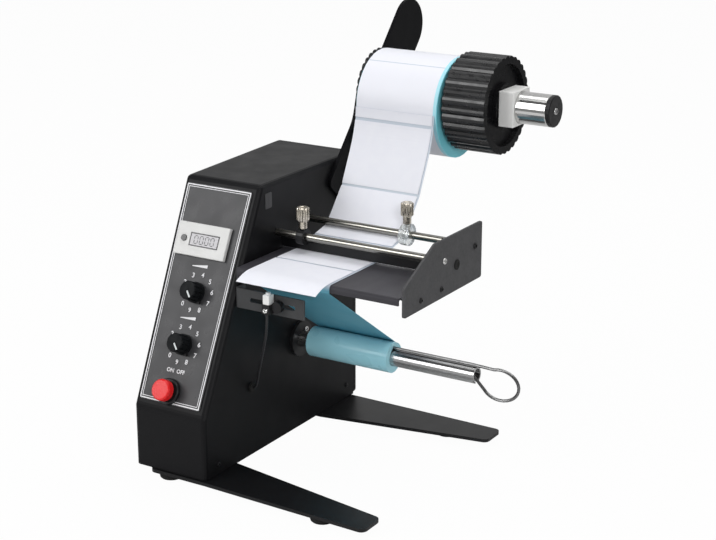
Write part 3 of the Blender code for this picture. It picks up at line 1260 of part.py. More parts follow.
def make_board():
    middle = -housing_width(BOARD_Y) / 2
    bottom = BASE_SHEET + GAP
    low = bottom + BOARD_LIFT
    board = box("control_board", (BOARD_WIDTH, BOARD_LENGTH, BOARD_THICKNESS), BOARD_GREEN, machine,
                (middle, BOARD_Y, low + BOARD_THICKNESS / 2))
    for side in (-1, 1):
        for end in (-1, 1):
            x = middle + side * (BOARD_WIDTH / 2 - STANDOFF_MARGIN)
            y = BOARD_Y + end * (BOARD_LENGTH / 2 - STANDOFF_MARGIN)
            fuse(board, rod("standoff_%d_%d" % (side, end), STANDOFF_RADIUS, bottom,
                            low + BOARD_THICKNESS / 2, None, machine, (x, y, 0), (0, 0, 0),
                            HIDDEN_STEPS))
    seat = low + BOARD_THICKNESS / 2
    fuse(board, box("transformer", (TRANSFORMER_SIZE, TRANSFORMER_SIZE, TRANSFORMER_HEIGHT), None,
                    machine, (middle, BOARD_Y + BOARD_LENGTH * TRANSFORMER_PLACE_SHARE,
                              seat + TRANSFORMER_HEIGHT / 2)))
    for side in (-1, 1):
        x = middle + side * BOARD_WIDTH * CAPACITOR_PLACE_SHARE
        fuse(board, rod("capacitor_%d" % side, CAPACITOR_RADIUS, seat, seat + CAPACITOR_HEIGHT, None,
                        machine, (x, BOARD_Y - BOARD_LENGTH * TRANSFORMER_PLACE_SHARE, 0), (0, 0, 0),
                        HIDDEN_STEPS))


def make_inlet():
    """A rear socket with a rim outside the cover and a body that reaches inside."""
    face = HOUSING_DEPTH + GAP
    inlet = box("power_inlet", (INLET_WIDTH + 2 * INLET_RIM, INLET_FLANGE, INLET_HEIGHT + 2 * INLET_RIM),
                BLACK_PLASTIC, machine, (INLET_X, face + INLET_FLANGE / 2, INLET_Z),
                edge=INLET_EDGE_RADIUS)
    depth = INLET_BODY_DEPTH + INLET_FLANGE / 2
    fuse(inlet, box("inlet_body", (INLET_WIDTH, depth, INLET_HEIGHT), None, machine,
                    (INLET_X, face + INLET_FLANGE / 2 - depth / 2, INLET_Z)))
    wall = 2 * INLET_SOCKET_WALL
    reach = INLET_SOCKET_DEPTH + OVERRUN
    cut(inlet, box("inlet_socket", (INLET_WIDTH - wall, reach, INLET_HEIGHT - wall), None, machine,
                   (INLET_X, face + INLET_FLANGE + OVERRUN - reach / 2, INLET_Z)))


clear_scene()
parts = make_collection("label_dispenser")
cutters = make_collection("cutters")
machine = make_empty("machine", (-(OVERALL_LEFT + OVERALL_RIGHT) / 2,
                                 -(OVERALL_FRONT + OVERALL_REAR) / 2, STAND_HEIGHT))
panel = make_empty("panel_frame", (0, 0, FRONT_FACE_HEIGHT), machine, (PANEL_LEAN, 0, 0))

make_housing_shell()
make_rear_cover()
make_base_pan()
make_stand()
make_supply_arm()
make_shaft()
make_supply_wheels()
make_roll()
make_web()
make_rods()
make_side_plate()
make_platform()
make_guide("left", LEFT_GUIDE_X, FRONT_ROD_Y, FRONT_ROD_Z, LEFT_GUIDE_RADIUS, BLACK_PLASTIC)
make_guide("right", RIGHT_GUIDE_X, REAR_ROD_Y, REAR_ROD_Z, RIGHT_GUIDE_RADIUS, CLEAR_PLASTIC)
make_spindle()
make_drive()
make_overlay()
make_counter()
make_knob("upper", UPPER_KNOB_S)
make_knob("lower", LOWER_KNOB_S)
make_button()
make_sensor()
make_board()
make_inlet()
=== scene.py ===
# %% [markdown]
# A desk-top label dispenser: a black steel housing, a supply roll on a rear arm, guide rods,
# a platform where labels peel off, and a driven spindle that winds up the backing paper.
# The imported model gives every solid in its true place, in metres. This lesson dresses it:
# it adds finishes made of nodes, and the small pieces that are too fine for the solids.

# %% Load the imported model
import math

import bmesh
import bpy
from mathutils import Matrix, Vector


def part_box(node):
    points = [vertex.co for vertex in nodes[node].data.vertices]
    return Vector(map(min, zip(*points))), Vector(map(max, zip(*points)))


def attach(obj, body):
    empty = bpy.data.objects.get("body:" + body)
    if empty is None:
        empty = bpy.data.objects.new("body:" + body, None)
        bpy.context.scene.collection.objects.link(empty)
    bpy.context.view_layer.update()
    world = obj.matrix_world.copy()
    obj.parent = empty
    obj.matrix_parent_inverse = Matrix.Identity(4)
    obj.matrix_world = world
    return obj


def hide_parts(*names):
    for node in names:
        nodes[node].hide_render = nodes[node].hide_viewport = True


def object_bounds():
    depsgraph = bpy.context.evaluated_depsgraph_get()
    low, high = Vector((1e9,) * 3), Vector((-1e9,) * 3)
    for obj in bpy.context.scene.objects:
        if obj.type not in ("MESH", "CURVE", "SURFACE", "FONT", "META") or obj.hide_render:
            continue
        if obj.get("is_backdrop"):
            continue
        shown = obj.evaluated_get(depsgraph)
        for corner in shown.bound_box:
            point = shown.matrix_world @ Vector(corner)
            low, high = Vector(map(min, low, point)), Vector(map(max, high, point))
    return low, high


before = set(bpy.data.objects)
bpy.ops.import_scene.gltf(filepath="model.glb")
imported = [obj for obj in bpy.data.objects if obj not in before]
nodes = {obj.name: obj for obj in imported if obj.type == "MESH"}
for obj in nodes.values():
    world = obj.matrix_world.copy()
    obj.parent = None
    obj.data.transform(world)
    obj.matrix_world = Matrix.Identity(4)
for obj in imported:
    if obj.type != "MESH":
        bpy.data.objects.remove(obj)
cad_low, cad_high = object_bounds()

# %% [markdown]
# The machine was drawn from the lower front corner of the housing's right side. Reading that
# corner from the model means that nothing here depends on where the model stands.

# %% Find the drawing corner
housing_low, housing_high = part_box("housing_shell")
corner = Vector((housing_high.x, housing_low.y, housing_low.z))


def at(x, y, z):
    """A point measured from the drawing corner, in the model's own frame."""
    return corner + Vector((x, y, z))


print("Drawing corner", [round(value, 4) for value in corner])

# %% [markdown]
# The camera comes first, because every later choice is judged through it. Its place and lens
# were fitted to the housing's and the rods' edges. A long lens gives the calm perspective of a
# product picture. Turning it with a track quaternion keeps it level, with no roll.

# %% Camera
CAMERA_AZIMUTH = math.radians(31.61)
CAMERA_ELEVATION = math.radians(17.51)
PICTURE_WIDTH = 716
FOCAL_PIXELS = 1683
CAMERA_PLACE = (0.7289, -0.9586, 0.5508)

camera = bpy.data.objects.new("camera", bpy.data.cameras.new("camera"))
bpy.context.scene.collection.objects.link(camera)
camera.location = at(*CAMERA_PLACE)
view_back = Vector((math.sin(CAMERA_AZIMUTH) * math.cos(CAMERA_ELEVATION),
                    -math.cos(CAMERA_AZIMUTH) * math.cos(CAMERA_ELEVATION),
                    math.sin(CAMERA_ELEVATION)))
camera.rotation_mode = "QUATERNION"
camera.rotation_quaternion = (-view_back).to_track_quat("-Z", "Y")
camera.data.lens = camera.data.sensor_width * FOCAL_PIXELS / PICTURE_WIDTH
bpy.context.scene.camera = camera
print("Lens", round(camera.data.lens, 1), "mm")

# %% [markdown]
# A finish is a node tree. These helpers keep each one short: they start a material, add a
# node, and turn a noise pattern into changes of colour, roughness and height. The pattern is
# given by its scale, detail and stretch. Object coordinates are in metres here, so a scale of
# 1000 means detail of about a millimetre.

# %% Helpers for finishes
NOISE_LOW, NOISE_HIGH = 0.3, 0.7
# The Mix node keeps a set of sockets for each kind of data, so they are told apart by number.
FIRST_COLOUR, SECOND_COLOUR, MIXED_COLOUR = 6, 7, 2
FIRST_VECTOR, SECOND_VECTOR, MIXED_VECTOR = 4, 5, 1


def new_finish(name, colour, roughness, metallic=0.0, specular=0.5):
    material = bpy.data.materials.new(name)
    material.use_nodes = True
    shader = material.node_tree.nodes["Principled BSDF"]
    shader.inputs["Base Color"].default_value = (*colour, 1)
    shader.inputs["Roughness"].default_value = roughness
    shader.inputs["Metallic"].default_value = metallic
    shader.inputs["Specular IOR Level"].default_value = specular
    return material


def add_node(material, kind, **values):
    node = material.node_tree.nodes.new("ShaderNode" + kind)
    for name, value in values.items():
        setattr(node, name, value)
    return node


def join(material, output, socket):
    material.node_tree.links.new(output, socket)


def shader_of(material):
    return material.node_tree.nodes["Principled BSDF"]


def place_in_metres(material, stretch=(1, 1, 1)):
    place = add_node(material, "TexCoord")
    mapping = add_node(material, "Mapping")
    mapping.inputs["Scale"].default_value = stretch
    join(material, place.outputs["Object"], mapping.inputs["Vector"])
    return mapping.outputs["Vector"]


def grain(material, scale, detail=3.0, stretch=(1, 1, 1)):
    pattern = add_node(material, "TexNoise")
    pattern.inputs["Scale"].default_value = scale
    pattern.inputs["Detail"].default_value = detail
    join(material, place_in_metres(material, stretch), pattern.inputs["Vector"])
    return pattern.outputs["Fac"]


def spread(material, pattern, low, high):
    """Stretch the middle of a noise pattern over the range from low to high."""
    ranged = add_node(material, "MapRange")
    for name, value in (("From Min", NOISE_LOW), ("From Max", NOISE_HIGH),
                        ("To Min", low), ("To Max", high)):
        ranged.inputs[name].default_value = value
    join(material, pattern, ranged.inputs["Value"])
    return ranged.outputs["Result"]


def vary_roughness(material, low, high, **pattern):
    rough = spread(material, grain(material, **pattern), low, high)
    join(material, rough, shader_of(material).inputs["Roughness"])


def mix_colours(material, factor, first, second):
    """Mix two colours, either of which may be a plain colour or another node's output."""
    mix = add_node(material, "Mix", data_type="RGBA")
    join(material, factor, mix.inputs["Factor"])
    for colour, number in ((first, FIRST_COLOUR), (second, SECOND_COLOUR)):
        socket = mix.inputs[number]
        if isinstance(colour, bpy.types.NodeSocket):
            join(material, colour, socket)
        else:
            socket.default_value = (*colour, 1)
    return mix.outputs[MIXED_COLOUR]


def paint(material, colour):
    join(material, colour, shader_of(material).inputs["Base Color"])


def vary_colour(material, first, second, **pattern):
    paint(material, mix_colours(material, grain(material, **pattern), first, second))


def raise_grain(material, height, strength=1.0, **pattern):
    bump = add_node(material, "Bump")
    bump.inputs["Distance"].default_value = height
    bump.inputs["Strength"].default_value = strength
    join(material, grain(material, **pattern), bump.inputs["Height"])
    join(material, bump.outputs["Normal"], shader_of(material).inputs["Normal"])


def dress(finish, *names):
    """Give solids of the model a finish. Their shapes stay as they are."""
    for name in names:
        slots = nodes[name].data.materials
        slots.clear()
        slots.append(finish)


# %% [markdown]
# Most added pieces are either turned, like a screw head, or cut from an outline, like a
# printed line. A ring of points whose distance from the axis may change with the angle makes
# both a plain turned form and a knurled or six-sided one, so one helper covers them all.

# %% Helpers for pieces
ALONG_X = Matrix.Rotation(math.pi / 2, 4, "Y")
ALONG_MINUS_Y = Matrix.Rotation(math.pi / 2, 4, "X")


def plain(angle):
    return 1.0


def hexagon(angle):
    sixth = math.pi / 3
    return math.cos(sixth / 2) / math.cos((angle % sixth) - sixth / 2)


def knurl(ribs, depth):
    def wave(angle):
        return 1 - depth * abs(math.sin(ribs * angle / 2))
    return wave


def lathe(rings, steps=32):
    """Turn rings of (radius, height, shape) about Z. They run from the bottom to the top."""
    bm = bmesh.new()
    rows = []
    for radius, height, shape in rings:
        row = []
        for index in range(steps):
            angle = 2 * math.pi * index / steps
            reach = radius * shape(angle)
            row.append(bm.verts.new((reach * math.cos(angle), reach * math.sin(angle), height)))
        rows.append(row)
    for low, high in zip(rows, rows[1:]):
        for index in range(steps):
            after = (index + 1) % steps
            bm.faces.new((low[index], low[after], high[after], high[index]))
    bm.faces.new(list(reversed(rows[0])))
    bm.faces.new(rows[-1])
    return bm


def add_prism(bm, outline, low, high):
    """Extrude a closed outline of (x, y) points along Z, into a mesh."""
    bottom = [bm.verts.new((x, y, low)) for x, y in outline]
    top = [bm.verts.new((x, y, high)) for x, y in outline]
    bm.faces.new(list(reversed(bottom)))
    bm.faces.new(top)
    for index in range(len(outline)):
        after = (index + 1) % len(outline)
        bm.faces.new((bottom[index], bottom[after], top[after], top[index]))


def slab(outline, low, high):
    bm = bmesh.new()
    add_prism(bm, outline, low, high)
    return bm


def add_piece(name, bm, finish, body, matrix=Matrix.Identity(4), smooth=35):
    mesh = bpy.data.meshes.new(name)
    bmesh.ops.recalc_face_normals(bm, faces=bm.faces)
    bm.to_mesh(mesh)
    bm.free()
    mesh.shade_smooth()
    mesh.set_sharp_from_angle(angle=math.radians(smooth))
    piece = bpy.data.objects.new(name, mesh)
    bpy.context.scene.collection.objects.link(piece)
    mesh.materials.append(finish)
    piece.matrix_world = matrix
    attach(piece, body)
    return piece


# %% [markdown]
# The sensor's cable is a real cord: a thin jacketed lead that leaves the bottom of the sensor,
# hangs in a loose curve in front of the housing and goes in through a rubber grommet. A curve
# with a round bevel follows its middle line, which repeats the route of the solid. More points
# between the given ones, on a smooth curve through them, keep the bends soft.

# %% Sensor cable
CABLE_RADIUS = 0.0011
CABLE_STEPS = 3
ROUND_STEPS = 4
CABLE_ROUTE = [
    (0.0325, 0.0400, 0.1327), (0.0324, 0.0402, 0.1290), (0.0317, 0.0410, 0.1235),
    (0.0302, 0.0424, 0.1170), (0.0280, 0.0442, 0.1103), (0.0252, 0.0464, 0.1036),
    (0.0221, 0.0490, 0.0968), (0.0188, 0.0517, 0.0899), (0.0155, 0.0544, 0.0829),
    (0.0123, 0.0570, 0.0760), (0.0095, 0.0594, 0.0695), (0.0070, 0.0614, 0.0640),
    (0.0050, 0.0627, 0.0600), (0.0028, 0.0631, 0.0581),
]


def smooth_through(points, between):
    """A smooth curve through all the points, with extra points between each two."""
    ends = [points[0] * 2 - points[1], *points, points[-1] * 2 - points[-2]]
    line = []
    for before, here, after, beyond in zip(ends, ends[1:], ends[2:], ends[3:]):
        for index in range(between):
            part = index / between
            line.append((here * 2 + (after - before) * part
                         + (before * 2 - here * 5 + after * 4 - beyond) * part ** 2
                         + (here * 3 - before - after * 3 + beyond) * part ** 3) / 2)
    line.append(points[-1])
    return line


def round_lead(name, line, radius, finish, body):
    data = bpy.data.curves.new(name, "CURVE")
    data.dimensions = "3D"
    data.bevel_depth = radius
    data.bevel_resolution = ROUND_STEPS
    data.use_fill_caps = True
    spline = data.splines.new("POLY")
    spline.points.add(len(line) - 1)
    for point, place in zip(spline.points, line):
        point.co = (*place, 1)
    lead = bpy.data.objects.new(name, data)
    bpy.context.scene.collection.objects.link(lead)
    data.materials.append(finish)
    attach(lead, body)
    return lead


cable_jacket = new_finish("cable_jacket", (0.016, 0.016, 0.018), 0.45)
vary_roughness(cable_jacket, 0.38, 0.55, scale=900)
raise_grain(cable_jacket, height=0.00002, scale=2500)

cable_line = smooth_through([at(*place) for place in CABLE_ROUTE], CABLE_STEPS)
cable = round_lead("sensor_lead", cable_line, CABLE_RADIUS, cable_jacket, "root")
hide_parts("sensor_cable")

# %% [markdown]
# The stage is a pale floor and a white surround. Rays straight from the camera, or through
# clear plastic, see both as white. All other rays see the real floor and a surround that is
# dim in front and lighter behind, as in a studio with dark cloth beside the camera. The dim
# side keeps the black paint deep and draws the dark bands along the shaft and the rods.

# %% Floor and surround
FLOOR_SIZE = 14.0
FLOOR_WHITE_SHARE = 0.97
FLOOR_GREY = 0.70
FRONT_STRENGTH, REAR_STRENGTH, WHITE_STRENGTH = 0.07, 0.62, 1.0
FRONT_END_Y, REAR_END_Y = -0.1, 0.7

floor_mesh = bpy.data.meshes.new("floor")
half_floor = FLOOR_SIZE / 2
floor_mesh.from_pydata([(-half_floor, -half_floor, 0), (half_floor, -half_floor, 0),
                        (half_floor, half_floor, 0), (-half_floor, half_floor, 0)], [],
                       [(0, 1, 2, 3)])
floor = bpy.data.objects.new("floor", floor_mesh)
bpy.context.scene.collection.objects.link(floor)
floor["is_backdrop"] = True


def seen_directly(tree):
    """One for the rays that should see the white itself: camera and transmission."""
    path = tree.nodes.new("ShaderNodeLightPath")
    larger = tree.nodes.new("ShaderNodeMath")
    larger.operation = "MAXIMUM"
    tree.links.new(path.outputs["Is Camera Ray"], larger.inputs[0])
    tree.links.new(path.outputs["Is Transmission Ray"], larger.inputs[1])
    return larger.outputs[0]


floor_finish = new_finish("pale_floor", (FLOOR_GREY,) * 3, roughness=0.9, specular=0.1)
tree = floor_finish.node_tree
white = tree.nodes.new("ShaderNodeEmission")
blend = tree.nodes.new("ShaderNodeMixShader")
share = tree.nodes.new("ShaderNodeMath")
share.operation = "MULTIPLY"
share.inputs[1].default_value = FLOOR_WHITE_SHARE
tree.links.new(seen_directly(tree), share.inputs[0])
tree.links.new(share.outputs[0], blend.inputs["Fac"])
tree.links.new(shader_of(floor_finish).outputs["BSDF"], blend.inputs[1])
tree.links.new(white.outputs["Emission"], blend.inputs[2])
tree.links.new(blend.outputs["Shader"], tree.nodes["Material Output"].inputs["Surface"])
floor_mesh.materials.append(floor_finish)

world = bpy.data.worlds.new("surround")
bpy.context.scene.world = world
world.use_nodes = True
tree = world.node_tree
sky = tree.nodes["Background"]
sky.inputs["Color"].default_value = (1, 1, 1, 1)
direction = tree.nodes.new("ShaderNodeTexCoord")
axes = tree.nodes.new("ShaderNodeSeparateXYZ")
behind = tree.nodes.new("ShaderNodeMapRange")
for name, value in (("From Min", FRONT_END_Y), ("From Max", REAR_END_Y),
                    ("To Min", FRONT_STRENGTH), ("To Max", REAR_STRENGTH)):
    behind.inputs[name].default_value = value
level = tree.nodes.new("ShaderNodeMapRange")
level.inputs["To Max"].default_value = WHITE_STRENGTH
tree.links.new(direction.outputs["Generated"], axes.inputs[0])
tree.links.new(axes.outputs["Y"], behind.inputs["Value"])
tree.links.new(behind.outputs["Result"], level.inputs["To Min"])
tree.links.new(seen_directly(tree), level.inputs["Value"])
tree.links.new(level.outputs["Result"], sky.inputs["Strength"])
bpy.context.scene.view_settings.view_transform = "Standard"
print("Surround from", FRONT_STRENGTH, "in front to", REAR_STRENGTH, "behind")

# %% [markdown]
# Three soft boxes do the lighting. The one at the front left is placed where the sloping panel
# mirrors it, which gives the panel its grey sheen. One hangs overhead, and a weaker one at the
# right shows the side plate and the roll's end.

# %% Soft boxes
def soft_box(name, place, aim, width, height, power):
    data = bpy.data.lights.new(name, "AREA")
    data.shape = "RECTANGLE"
    data.size = width
    data.size_y = height
    data.energy = power
    lamp = bpy.data.objects.new(name, data)
    bpy.context.scene.collection.objects.link(lamp)
    lamp.location = place
    lamp.rotation_euler = (Vector(aim) - Vector(place)).to_track_quat("-Z", "Y").to_euler()


soft_box("key_box", place=(-1.15, -1.75, 1.25), aim=(0, 0, 0.15), width=1.3, height=1.1, power=26)
soft_box("top_box", place=(0.1, 0.2, 1.9), aim=(0, 0, 0.1), width=1.6, height=1.6, power=20)
soft_box("side_box", place=(1.5, -1.6, 1.1), aim=(0, 0, 0.2), width=0.7, height=0.7, power=17)

# %% [markdown]
# The housing is folded steel with a satin black powder coat. A powder coat flows out into
# faint waves with a fine grain on top, so the finish has two noise scales in its height and a
# slow change of roughness. Its mirror share is low, which keeps flat sides deep black and lets
# only a grazing view turn grey. The arm was coated apart from the housing and is a deeper black.

# %% Black powder coat
powder_coat = new_finish("black_powder_coat", (0.007, 0.007, 0.008), 0.42, specular=0.14)
vary_roughness(powder_coat, 0.38, 0.45, scale=60)
vary_colour(powder_coat, (0.006, 0.006, 0.007), (0.008, 0.008, 0.009), scale=35, detail=4)
raise_grain(powder_coat, height=0.00003, strength=0.5, scale=1600, detail=4)
dress(powder_coat, "housing_shell", "rear_cover", "base_pan")

arm_coat = new_finish("deep_black_arm_coat", (0.004, 0.004, 0.005), 0.46, specular=0.08)
vary_roughness(arm_coat, 0.42, 0.52, scale=60)
raise_grain(arm_coat, height=0.00003, strength=0.5, scale=1600)
dress(arm_coat, "supply_arm")

# %% [markdown]
# The side plate is the same sheet in a lighter, rougher dark grey, and the legs and the tension
# bar are smoother and black. Each gets its own grain and roughness, because real batches of
# paint differ, and the eye reads them as separate parts.

# %% Plate paint and leg paint
plate_paint = new_finish("dark_grey_plate_paint", (0.058, 0.058, 0.061), 0.55, specular=0.25)
vary_colour(plate_paint, (0.050, 0.050, 0.052), (0.088, 0.088, 0.092), scale=420, detail=5)
vary_roughness(plate_paint, 0.48, 0.62, scale=90)
raise_grain(plate_paint, height=0.00005, strength=0.6, scale=1300, detail=4)
dress(plate_paint, "side_plate")

leg_paint = new_finish("semi_gloss_leg_paint", (0.007, 0.007, 0.008), 0.36, specular=0.32)
vary_roughness(leg_paint, 0.34, 0.40, scale=45)
vary_colour(leg_paint, (0.005, 0.005, 0.006), (0.009, 0.009, 0.010), scale=30)
raise_grain(leg_paint, height=0.00001, strength=0.3, scale=1100, detail=2)
dress(leg_paint, "front_leg", "rear_leg", "tension_bar")

# %% [markdown]
# The platform is worn smooth by the paper. Its black has turned to a grey with a faint lilac
# tint, and its colour and roughness drift in long, soft streaks.

# %% Worn platform paint
platform_paint = new_finish("worn_platform_paint", (0.036, 0.035, 0.041), 0.38, specular=0.35)
vary_colour(platform_paint, (0.032, 0.031, 0.037), (0.042, 0.040, 0.048),
            scale=90, detail=4, stretch=(0.3, 1, 1))
vary_roughness(platform_paint, 0.34, 0.44, scale=60, stretch=(1, 0.3, 1))
dress(platform_paint, "platform")

# %% [markdown]
# Metals need something to show: fine lines where the bar was ground or drawn, and changes of
# roughness where hands and paper have rubbed it. Stretching a noise pattern along the bar
# gives lines that run its whole length. The shaft is chromed, while the guide rods are bare
# turned steel, which is darker and a little yellow. The clip is spring wire, which keeps a
# dark film of oil. The relief is kept very low, because a mirror shows the smallest bump.

# %% Chrome, steels and nickel
LENGTHWISE = (0.02, 1, 1)

chrome = new_finish("ground_chrome", (0.66, 0.66, 0.65), 0.18, metallic=1.0)
vary_roughness(chrome, 0.14, 0.24, scale=1400, detail=2, stretch=LENGTHWISE)
raise_grain(chrome, height=0.00001, strength=0.1, scale=2600, detail=1, stretch=LENGTHWISE)
dress(chrome, "supply_shaft")

rod_steel = new_finish("turned_rod_steel", (0.29, 0.28, 0.26), 0.28, metallic=1.0)
vary_roughness(rod_steel, 0.22, 0.34, scale=1300, detail=2, stretch=LENGTHWISE)
vary_colour(rod_steel, (0.24, 0.235, 0.215), (0.34, 0.33, 0.30),
            scale=500, detail=2, stretch=LENGTHWISE)
raise_grain(rod_steel, height=0.00001, strength=0.1, scale=2600, detail=1, stretch=LENGTHWISE)
dress(rod_steel, "front_rod", "rear_rod")

drawn_steel = new_finish("drawn_steel", (0.46, 0.46, 0.46), 0.28, metallic=1.0)
vary_roughness(drawn_steel, 0.22, 0.34, scale=1100, stretch=LENGTHWISE)
raise_grain(drawn_steel, height=0.00001, strength=0.2, scale=2400, detail=1, stretch=LENGTHWISE)
dress(drawn_steel, "spindle_tube", "drive_motor", "motor_bracket",
      "upper_control", "lower_control")

spring_wire = new_finish("oiled_spring_wire", (0.20, 0.20, 0.20), 0.32, metallic=1.0)
vary_roughness(spring_wire, 0.26, 0.40, scale=900)
dress(spring_wire, "wire_clip")

nickel = new_finish("warm_nickel", (0.66, 0.61, 0.52), 0.26, metallic=1.0)
vary_roughness(nickel, 0.20, 0.36, scale=700)
vary_colour(nickel, (0.60, 0.55, 0.46), (0.66, 0.61, 0.53), scale=260, detail=4)

# %% [markdown]
# Moulded plastic is never one even colour. Black parts have the fine spark-eroded texture of
# the mould, white parts turn a little warm where they are handled, the knobs are pressed
# from a deeper and duller black, and the red button is polished. Hands polish the ribs of the
# outer wheel and leave its flat face matt, so its mirror share follows the surface's
# direction, read from the normal along the axis.

# %% Moulded plastics
black_plastic = new_finish("moulded_black", (0.009, 0.009, 0.010), 0.42, specular=0.30)
vary_roughness(black_plastic, 0.34, 0.50, scale=150)
vary_colour(black_plastic, (0.007, 0.007, 0.008), (0.012, 0.012, 0.013), scale=50)
raise_grain(black_plastic, height=0.00003, strength=0.5, scale=2200)
dress(black_plastic, "inner_wheel", "shaft_cap", "left_guide", "spindle_bearing",
      "power_switch", "sensor_clamp", "power_inlet")

RIM_SPECULAR, FACE_SPECULAR = 0.60, 0.06
wheel_black = new_finish("ribbed_wheel_black", (0.005, 0.005, 0.006), 0.30)
vary_roughness(wheel_black, 0.24, 0.38, scale=150)
vary_colour(wheel_black, (0.004, 0.004, 0.005), (0.007, 0.007, 0.008), scale=50)
faces = add_node(wheel_black, "SeparateXYZ")
join(wheel_black, add_node(wheel_black, "TexCoord").outputs["Normal"], faces.inputs[0])
flat_face = add_node(wheel_black, "Math", operation="ABSOLUTE")
join(wheel_black, faces.outputs["X"], flat_face.inputs[0])
polish = add_node(wheel_black, "MapRange")
polish.inputs["To Min"].default_value = RIM_SPECULAR
polish.inputs["To Max"].default_value = FACE_SPECULAR
join(wheel_black, flat_face.outputs[0], polish.inputs["Value"])
join(wheel_black, polish.outputs["Result"], shader_of(wheel_black).inputs["Specular IOR Level"])
dress(wheel_black, "outer_wheel")

knob_black = new_finish("pressed_knob_black", (0.006, 0.007, 0.008), 0.5, specular=0.10)
vary_roughness(knob_black, 0.42, 0.60, scale=260)
vary_colour(knob_black, (0.004, 0.005, 0.006), (0.009, 0.010, 0.011), scale=140)
raise_grain(knob_black, height=0.00003, strength=0.5, scale=2000)
dress(knob_black, "upper_knob", "lower_knob")

white_plastic = new_finish("moulded_white", (0.86, 0.86, 0.85), 0.38)
vary_roughness(white_plastic, 0.30, 0.46, scale=120)
vary_colour(white_plastic, (0.83, 0.83, 0.81), (0.89, 0.89, 0.88), scale=70)
raise_grain(white_plastic, height=0.00002, strength=0.4, scale=1800, detail=2)
dress(white_plastic, "collar_block", "label_sensor", "spindle_pulley", "motor_pulley")

case_plastic = new_finish("moulded_counter_case", (0.66, 0.66, 0.65), 0.42)
vary_roughness(case_plastic, 0.36, 0.50, scale=120)
vary_colour(case_plastic, (0.62, 0.62, 0.61), (0.70, 0.70, 0.69), scale=70)
dress(case_plastic, "counter")

grey_key = new_finish("grey_key", (0.12, 0.12, 0.12), 0.4)
vary_roughness(grey_key, 0.34, 0.50, scale=800)
dress(grey_key, "counter_reset")

grey_paint = new_finish("grey_bracket_paint", (0.045, 0.046, 0.048), 0.5, specular=0.35)
vary_roughness(grey_paint, 0.42, 0.58, scale=200)
raise_grain(grey_paint, height=0.00003, strength=0.5, scale=1500)
dress(grey_paint, "sensor_bracket")

red_button = new_finish("polished_red", (0.72, 0.018, 0.022), 0.30, specular=0.25)
shader_of(red_button).inputs["Coat Weight"].default_value = 0.12
shader_of(red_button).inputs["Coat Roughness"].default_value = 0.10
vary_colour(red_button, (0.70, 0.010, 0.012), (0.84, 0.018, 0.020), scale=90, detail=2)
vary_roughness(red_button, 0.24, 0.36, scale=400)
dress(red_button, "power_button")

clear_plastic = new_finish("clear_guide", (0.86, 0.89, 0.90), 0.12)
shader_of(clear_plastic).inputs["Transmission Weight"].default_value = 0.75
shader_of(clear_plastic).inputs["IOR"].default_value = 1.46
vary_roughness(clear_plastic, 0.08, 0.18, scale=300)
dress(clear_plastic, "right_guide")

# %% [markdown]
# Rubber is matt and slightly dusty, so its colour drifts and its roughness stays high. The
# circuit board inside gets solder mask green with a weave of glass fibre under it.

# %% Rubber and board
rubber = new_finish("matt_rubber", (0.012, 0.012, 0.012), 0.8, specular=0.3)
vary_colour(rubber, (0.009, 0.009, 0.009), (0.022, 0.022, 0.021), scale=220, detail=4)
raise_grain(rubber, height=0.00005, strength=0.6, scale=1200)
dress(rubber, "front_left_foot", "rear_left_foot", "front_right_foot", "rear_right_foot",
      "cable_grommet", "drive_belt")

board_green = new_finish("solder_mask", (0.02, 0.15, 0.06), 0.35)
vary_colour(board_green, (0.014, 0.12, 0.045), (0.028, 0.18, 0.075),
            scale=900, detail=2, stretch=(1, 8, 1))
dress(board_green, "control_board")

# %% [markdown]
# The labels are coated white paper on pale blue glassine backing. Paper shows fibres as soft
# flecks and a slight tooth, and glassine is smooth, glossy and a little cloudy. Its pattern is
# kept coarse, because fine noise shows as dark dashes. The wound backing's blue is lighter than
# the paper's own: painted light for light shining through the thin sheet. Where the strip runs
# under the platform it is a darker teal, painted shade for the shadow there. Above the platform
# only slits of backing show between the labels. They look pale and greyish there, as white
# paper on both sides throws light on them, so the strip's finish fades with the height.

# %% Label paper and backing
LABEL_WHITE = (0.82, 0.83, 0.89)
# Pale blue of the glassine, lightened with painted light for light shining through the sheet.
BACKLIT_LINER_BLUE = (0.37, 0.72, 0.83)
SLIT_COLOUR = (0.56, 0.62, 0.70)
FADE_LOW_Z, FADE_HIGH_Z = 0.1590, 0.1630

label_paper = new_finish("label_paper", LABEL_WHITE, 0.55)
vary_colour(label_paper, (0.79, 0.80, 0.87), (0.84, 0.85, 0.90), scale=120, detail=5)
raise_grain(label_paper, height=0.00002, strength=0.4, scale=1500, detail=4)
dress(label_paper, "label_1", "label_2", "label_3", "label_4")

# The wound backing's blues carry the same painted light through the thin sheet.
glassine = new_finish("blue_glassine", BACKLIT_LINER_BLUE, 0.28)
vary_colour(glassine, (0.34, 0.70, 0.81), (0.40, 0.75, 0.85),
            scale=60, detail=2, stretch=(0.4, 1, 1))
vary_roughness(glassine, 0.26, 0.34, scale=60, detail=1)
dress(glassine, "wound_liner")

web_backing = new_finish("web_backing", BACKLIT_LINER_BLUE, 0.30)
height = add_node(web_backing, "SeparateXYZ")
join(web_backing, place_in_metres(web_backing), height.inputs[0])
beside_labels = add_node(web_backing, "MapRange")
beside_labels.inputs["From Min"].default_value = at(0, 0, FADE_LOW_Z).z
beside_labels.inputs["From Max"].default_value = at(0, 0, FADE_HIGH_Z).z
join(web_backing, height.outputs["Z"], beside_labels.inputs["Value"])
# Darker teal below the platform: painted shade for the shadow there, with a coarse colour drift.
painted_shade_drift = mix_colours(web_backing, grain(web_backing, scale=55, detail=1, stretch=(0.4, 1, 1)),
                       (0.105, 0.36, 0.48), (0.120, 0.39, 0.51))
paint(web_backing, mix_colours(web_backing, beside_labels.outputs["Result"], painted_shade_drift,
                               SLIT_COLOUR))
vary_roughness(web_backing, 0.36, 0.44, scale=40, detail=1)
dress(web_backing, "liner_strip")

